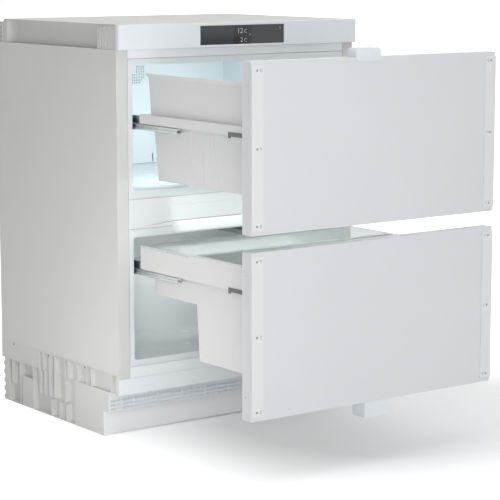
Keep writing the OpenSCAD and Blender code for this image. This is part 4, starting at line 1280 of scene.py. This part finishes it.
@dataclass
class Studio:
    """Camera, floor and soft lights."""

    camera_at: Point = (-2.3058, -3.1954, 0.9719)
    turn: float = math.radians(36.31)
    tilt: float = math.radians(8.80)
    lens: float = 137.86
    sensor: float = 36.0
    far_end: float = 100.0
    floor_size: float = 60.0
    floor_grey: float = 0.75
    shadow_middle: Point = (0.30, -0.15, 0.0)
    world_right: float = 1.04
    world_color: Color = (0.98, 0.99, 1.0)
    bluish_light: Color = (0.88, 0.96, 1.0)
    liner_light_width: float = 0.44
    divider_light_x: float = 30 * MM
    divider_light_gap: float = 11 * MM
    bin_light_drop: float = 12 * MM
    bin_light_inside: float = 50 * MM
    bin_light_reach: float = 0.25

    # Distances from the shadow's middle between which the floor's own white comes in,
    # and its strength at both
    FLOOR_FADE = (0.35, 1.0, 0.20, 1.0)

    # The soft lights above, at the front left, low at the left corner and along the left side,
    # and behind
    SOFTBOXES = (
        SoftBox("top_softbox", (-0.5, -0.9, 3.4), (0.0, -0.1, 0.3), (2.6, 2.6), 34.0),
        SoftBox("key_softbox", (-1.7, -2.4, 0.85), (0.0, -0.1, 0.42), (1.3, 1.3), 22.0,
                (0.96, 0.985, 1.0)),
        SoftBox("corner_softbox", (-0.66, -0.02, 0.13), (-0.3, 0.02, 0.18), (0.3, 0.2), 0.34,
                (1.0, 0.985, 0.96)),
        SoftBox("side_softbox", (-0.62, -0.50, 0.34), (-0.72, 0.5, 0.34), (0.12, 0.66), 1.4),
        SoftBox("rear_softbox", (1.6, 3.0, 1.6), (0.0, 0.1, 0.4), (2.0, 2.0), 22.0),
    )

    def build(self) -> None:
        """Makes the whole studio."""
        scene = bpy.context.scene
        scene.view_settings.view_transform = "Standard"
        self._camera(scene)
        self._world(scene)
        self._floor()
        for box in (*self.SOFTBOXES, *self._liner_lights(), self._divider_light(),
                    self._bin_light()):
            box.hang()

    def _camera(self, scene: bpy.types.Scene) -> None:
        """Places the camera at the photograph's viewing angle.

        Args:
            scene: the scene that it is for.
        """
        data = bpy.data.cameras.new("camera")
        data.lens = self.lens
        data.sensor_width = self.sensor
        data.clip_end = self.far_end
        camera = bpy.data.objects.new("camera", data)
        camera.location = self.camera_at
        camera.rotation_euler = (math.pi / 2 - self.tilt, 0.0, -self.turn)
        scene.collection.objects.link(camera)
        scene.camera = camera

    def _world(self, scene: bpy.types.Scene) -> None:
        """Makes the surroundings: light from the right, and white where the camera sees them.

        Args:
            scene: the scene that they are for.
        """
        world = bpy.data.worlds.new("surroundings")
        world.use_nodes = True
        scene.world = world
        sheet = Sheet(world.node_tree)
        direction = sheet.add("ShaderNodeTexCoord").outputs["Generated"]
        towards = sheet.add("ShaderNodeSeparateXYZ", in_0=direction)
        strength = sheet.ramp(towards.outputs["X"], -1.0, 1.0, 0.0, self.world_right)
        light = sheet.add("ShaderNodeBackground", in_Color=(*self.world_color, 1.0),
                          in_Strength=strength)
        seen = sheet.add("ShaderNodeBackground", in_Color=(*WHITE, 1.0), in_Strength=1.0)
        sheet.add("ShaderNodeOutputWorld",
                  in_Surface=sheet.mix_shaders(sheet.seen_directly(), light, seen))

    def _floor(self) -> None:
        """Makes the plain pale floor, which fades to white away from the object."""
        mesh = bpy.data.meshes.new("floor")
        half = self.floor_size / 2
        mesh.from_pydata([(-half, -half, 0), (half, -half, 0), (half, half, 0), (-half, half, 0)],
                         [], [(0, 1, 2, 3)])
        floor = bpy.data.objects.new("floor", mesh)
        bpy.context.scene.collection.objects.link(floor)
        material, sheet = new_material("floor_white")
        grey = self.floor_grey
        matt = sheet.add("ShaderNodeBsdfDiffuse", in_Color=(grey, grey, grey, 1.0))
        reach = sheet.add("ShaderNodeVectorMath", operation="DISTANCE", in_0=sheet.place(),
                          in_1=self.shadow_middle)
        lift = sheet.ramp(reach.outputs["Value"], *self.FLOOR_FADE)
        white = sheet.add("ShaderNodeEmission", in_Color=(*WHITE, 1.0),
                          in_Strength=sheet.math("MULTIPLY", lift, sheet.seen_directly()))
        both = sheet.add("ShaderNodeAddShader", in_0=matt.outputs[0], in_1=white.outputs[0])
        sheet.add("ShaderNodeOutputMaterial", in_Surface=both.outputs[0])
        mesh.materials.append(material)

    def _liner_lights(self) -> list[SoftBox]:
        """Plans the lights just inside the two openings, the upper one bluish.

        Returns:
            Both lights.
        """
        boxes = []
        for liner, rise, inside, tall, watts, color in (
                ("upper_liner", 0.0, 25 * MM, 0.14, 0.84, self.bluish_light),
                ("lower_liner", 0.10, 100 * MM, 0.03, 0.30, (1.0, 0.99, 0.98))):
            low, high = span(liner)
            x, _, z = (low + high) / 2
            boxes.append(SoftBox(f"{liner}_light", (x, low.y + inside, z + rise),
                                 (x, high.y, z + rise), (self.liner_light_width, tall), watts,
                                 color))
        return boxes

    def _divider_light(self) -> SoftBox:
        """Plans the light close to the divider's face.

        Returns:
            The light.
        """
        low, high = span("divider_cover")
        middle = (low + high) / 2
        x = middle.x + self.divider_light_x
        return SoftBox("divider_light", (x, low.y - self.divider_light_gap, middle.z),
                       (x, high.y, middle.z), (0.40, 0.07), 0.028, (0.95, 1.0, 0.99))

    def _bin_light(self) -> SoftBox:
        """Plans the light under the upper bin, for the lower bin and its lid.

        Returns:
            The light.
        """
        low, high = span("upper_bin")
        x = (low.x + high.x) / 2
        y, z = low.y + self.bin_light_inside, low.z - self.bin_light_drop
        return SoftBox("under_drawer_light", (x, y, z),
                       (x, y + self.bin_light_reach, z - self.bin_light_reach), (0.38, 0.08), 0.5,
                       (0.98, 1.0, 0.99))


def main() -> None:
    """Builds the scene around the solids and reports each part of it."""
    logging.basicConfig(level=logging.INFO, format="%(name)s: %(message)s")
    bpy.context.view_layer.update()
    Studio().build()
    LOG.info("studio ready")
    paint = Paint()
    paint.dress_solids()
    drawers = [part(drawer) for drawer in ("upper", "lower")
               for part in (DoorSeal, StripScrews, MiddleRails)]
    fans = (FanRotor("condenser_fan", "condenser_fan", "black_plastic", "black_plastic",
                     hub_radius=12 * MM, tip_radius=33.5 * MM, bore_radius=2.55 * MM,
                     depth=9 * MM),
            FanRotor("cabin_fan", "cabin_fan", "white_plastic", "white_plastic",
                     hub_radius=9 * MM, tip_radius=32.5 * MM, bore_radius=2.05 * MM,
                     depth=7 * MM))
    feet = [Foot(f"foot_{corner}")
            for corner in ("front_left", "front_right", "rear_left", "rear_right")]
    for part in (*drawers, SkirtScrews(), GlassLid(), Display(), *fans, *feet):
        part.build(paint)
        LOG.info("built: %s", type(part).__name__)


if __name__ == "__main__":
    main()
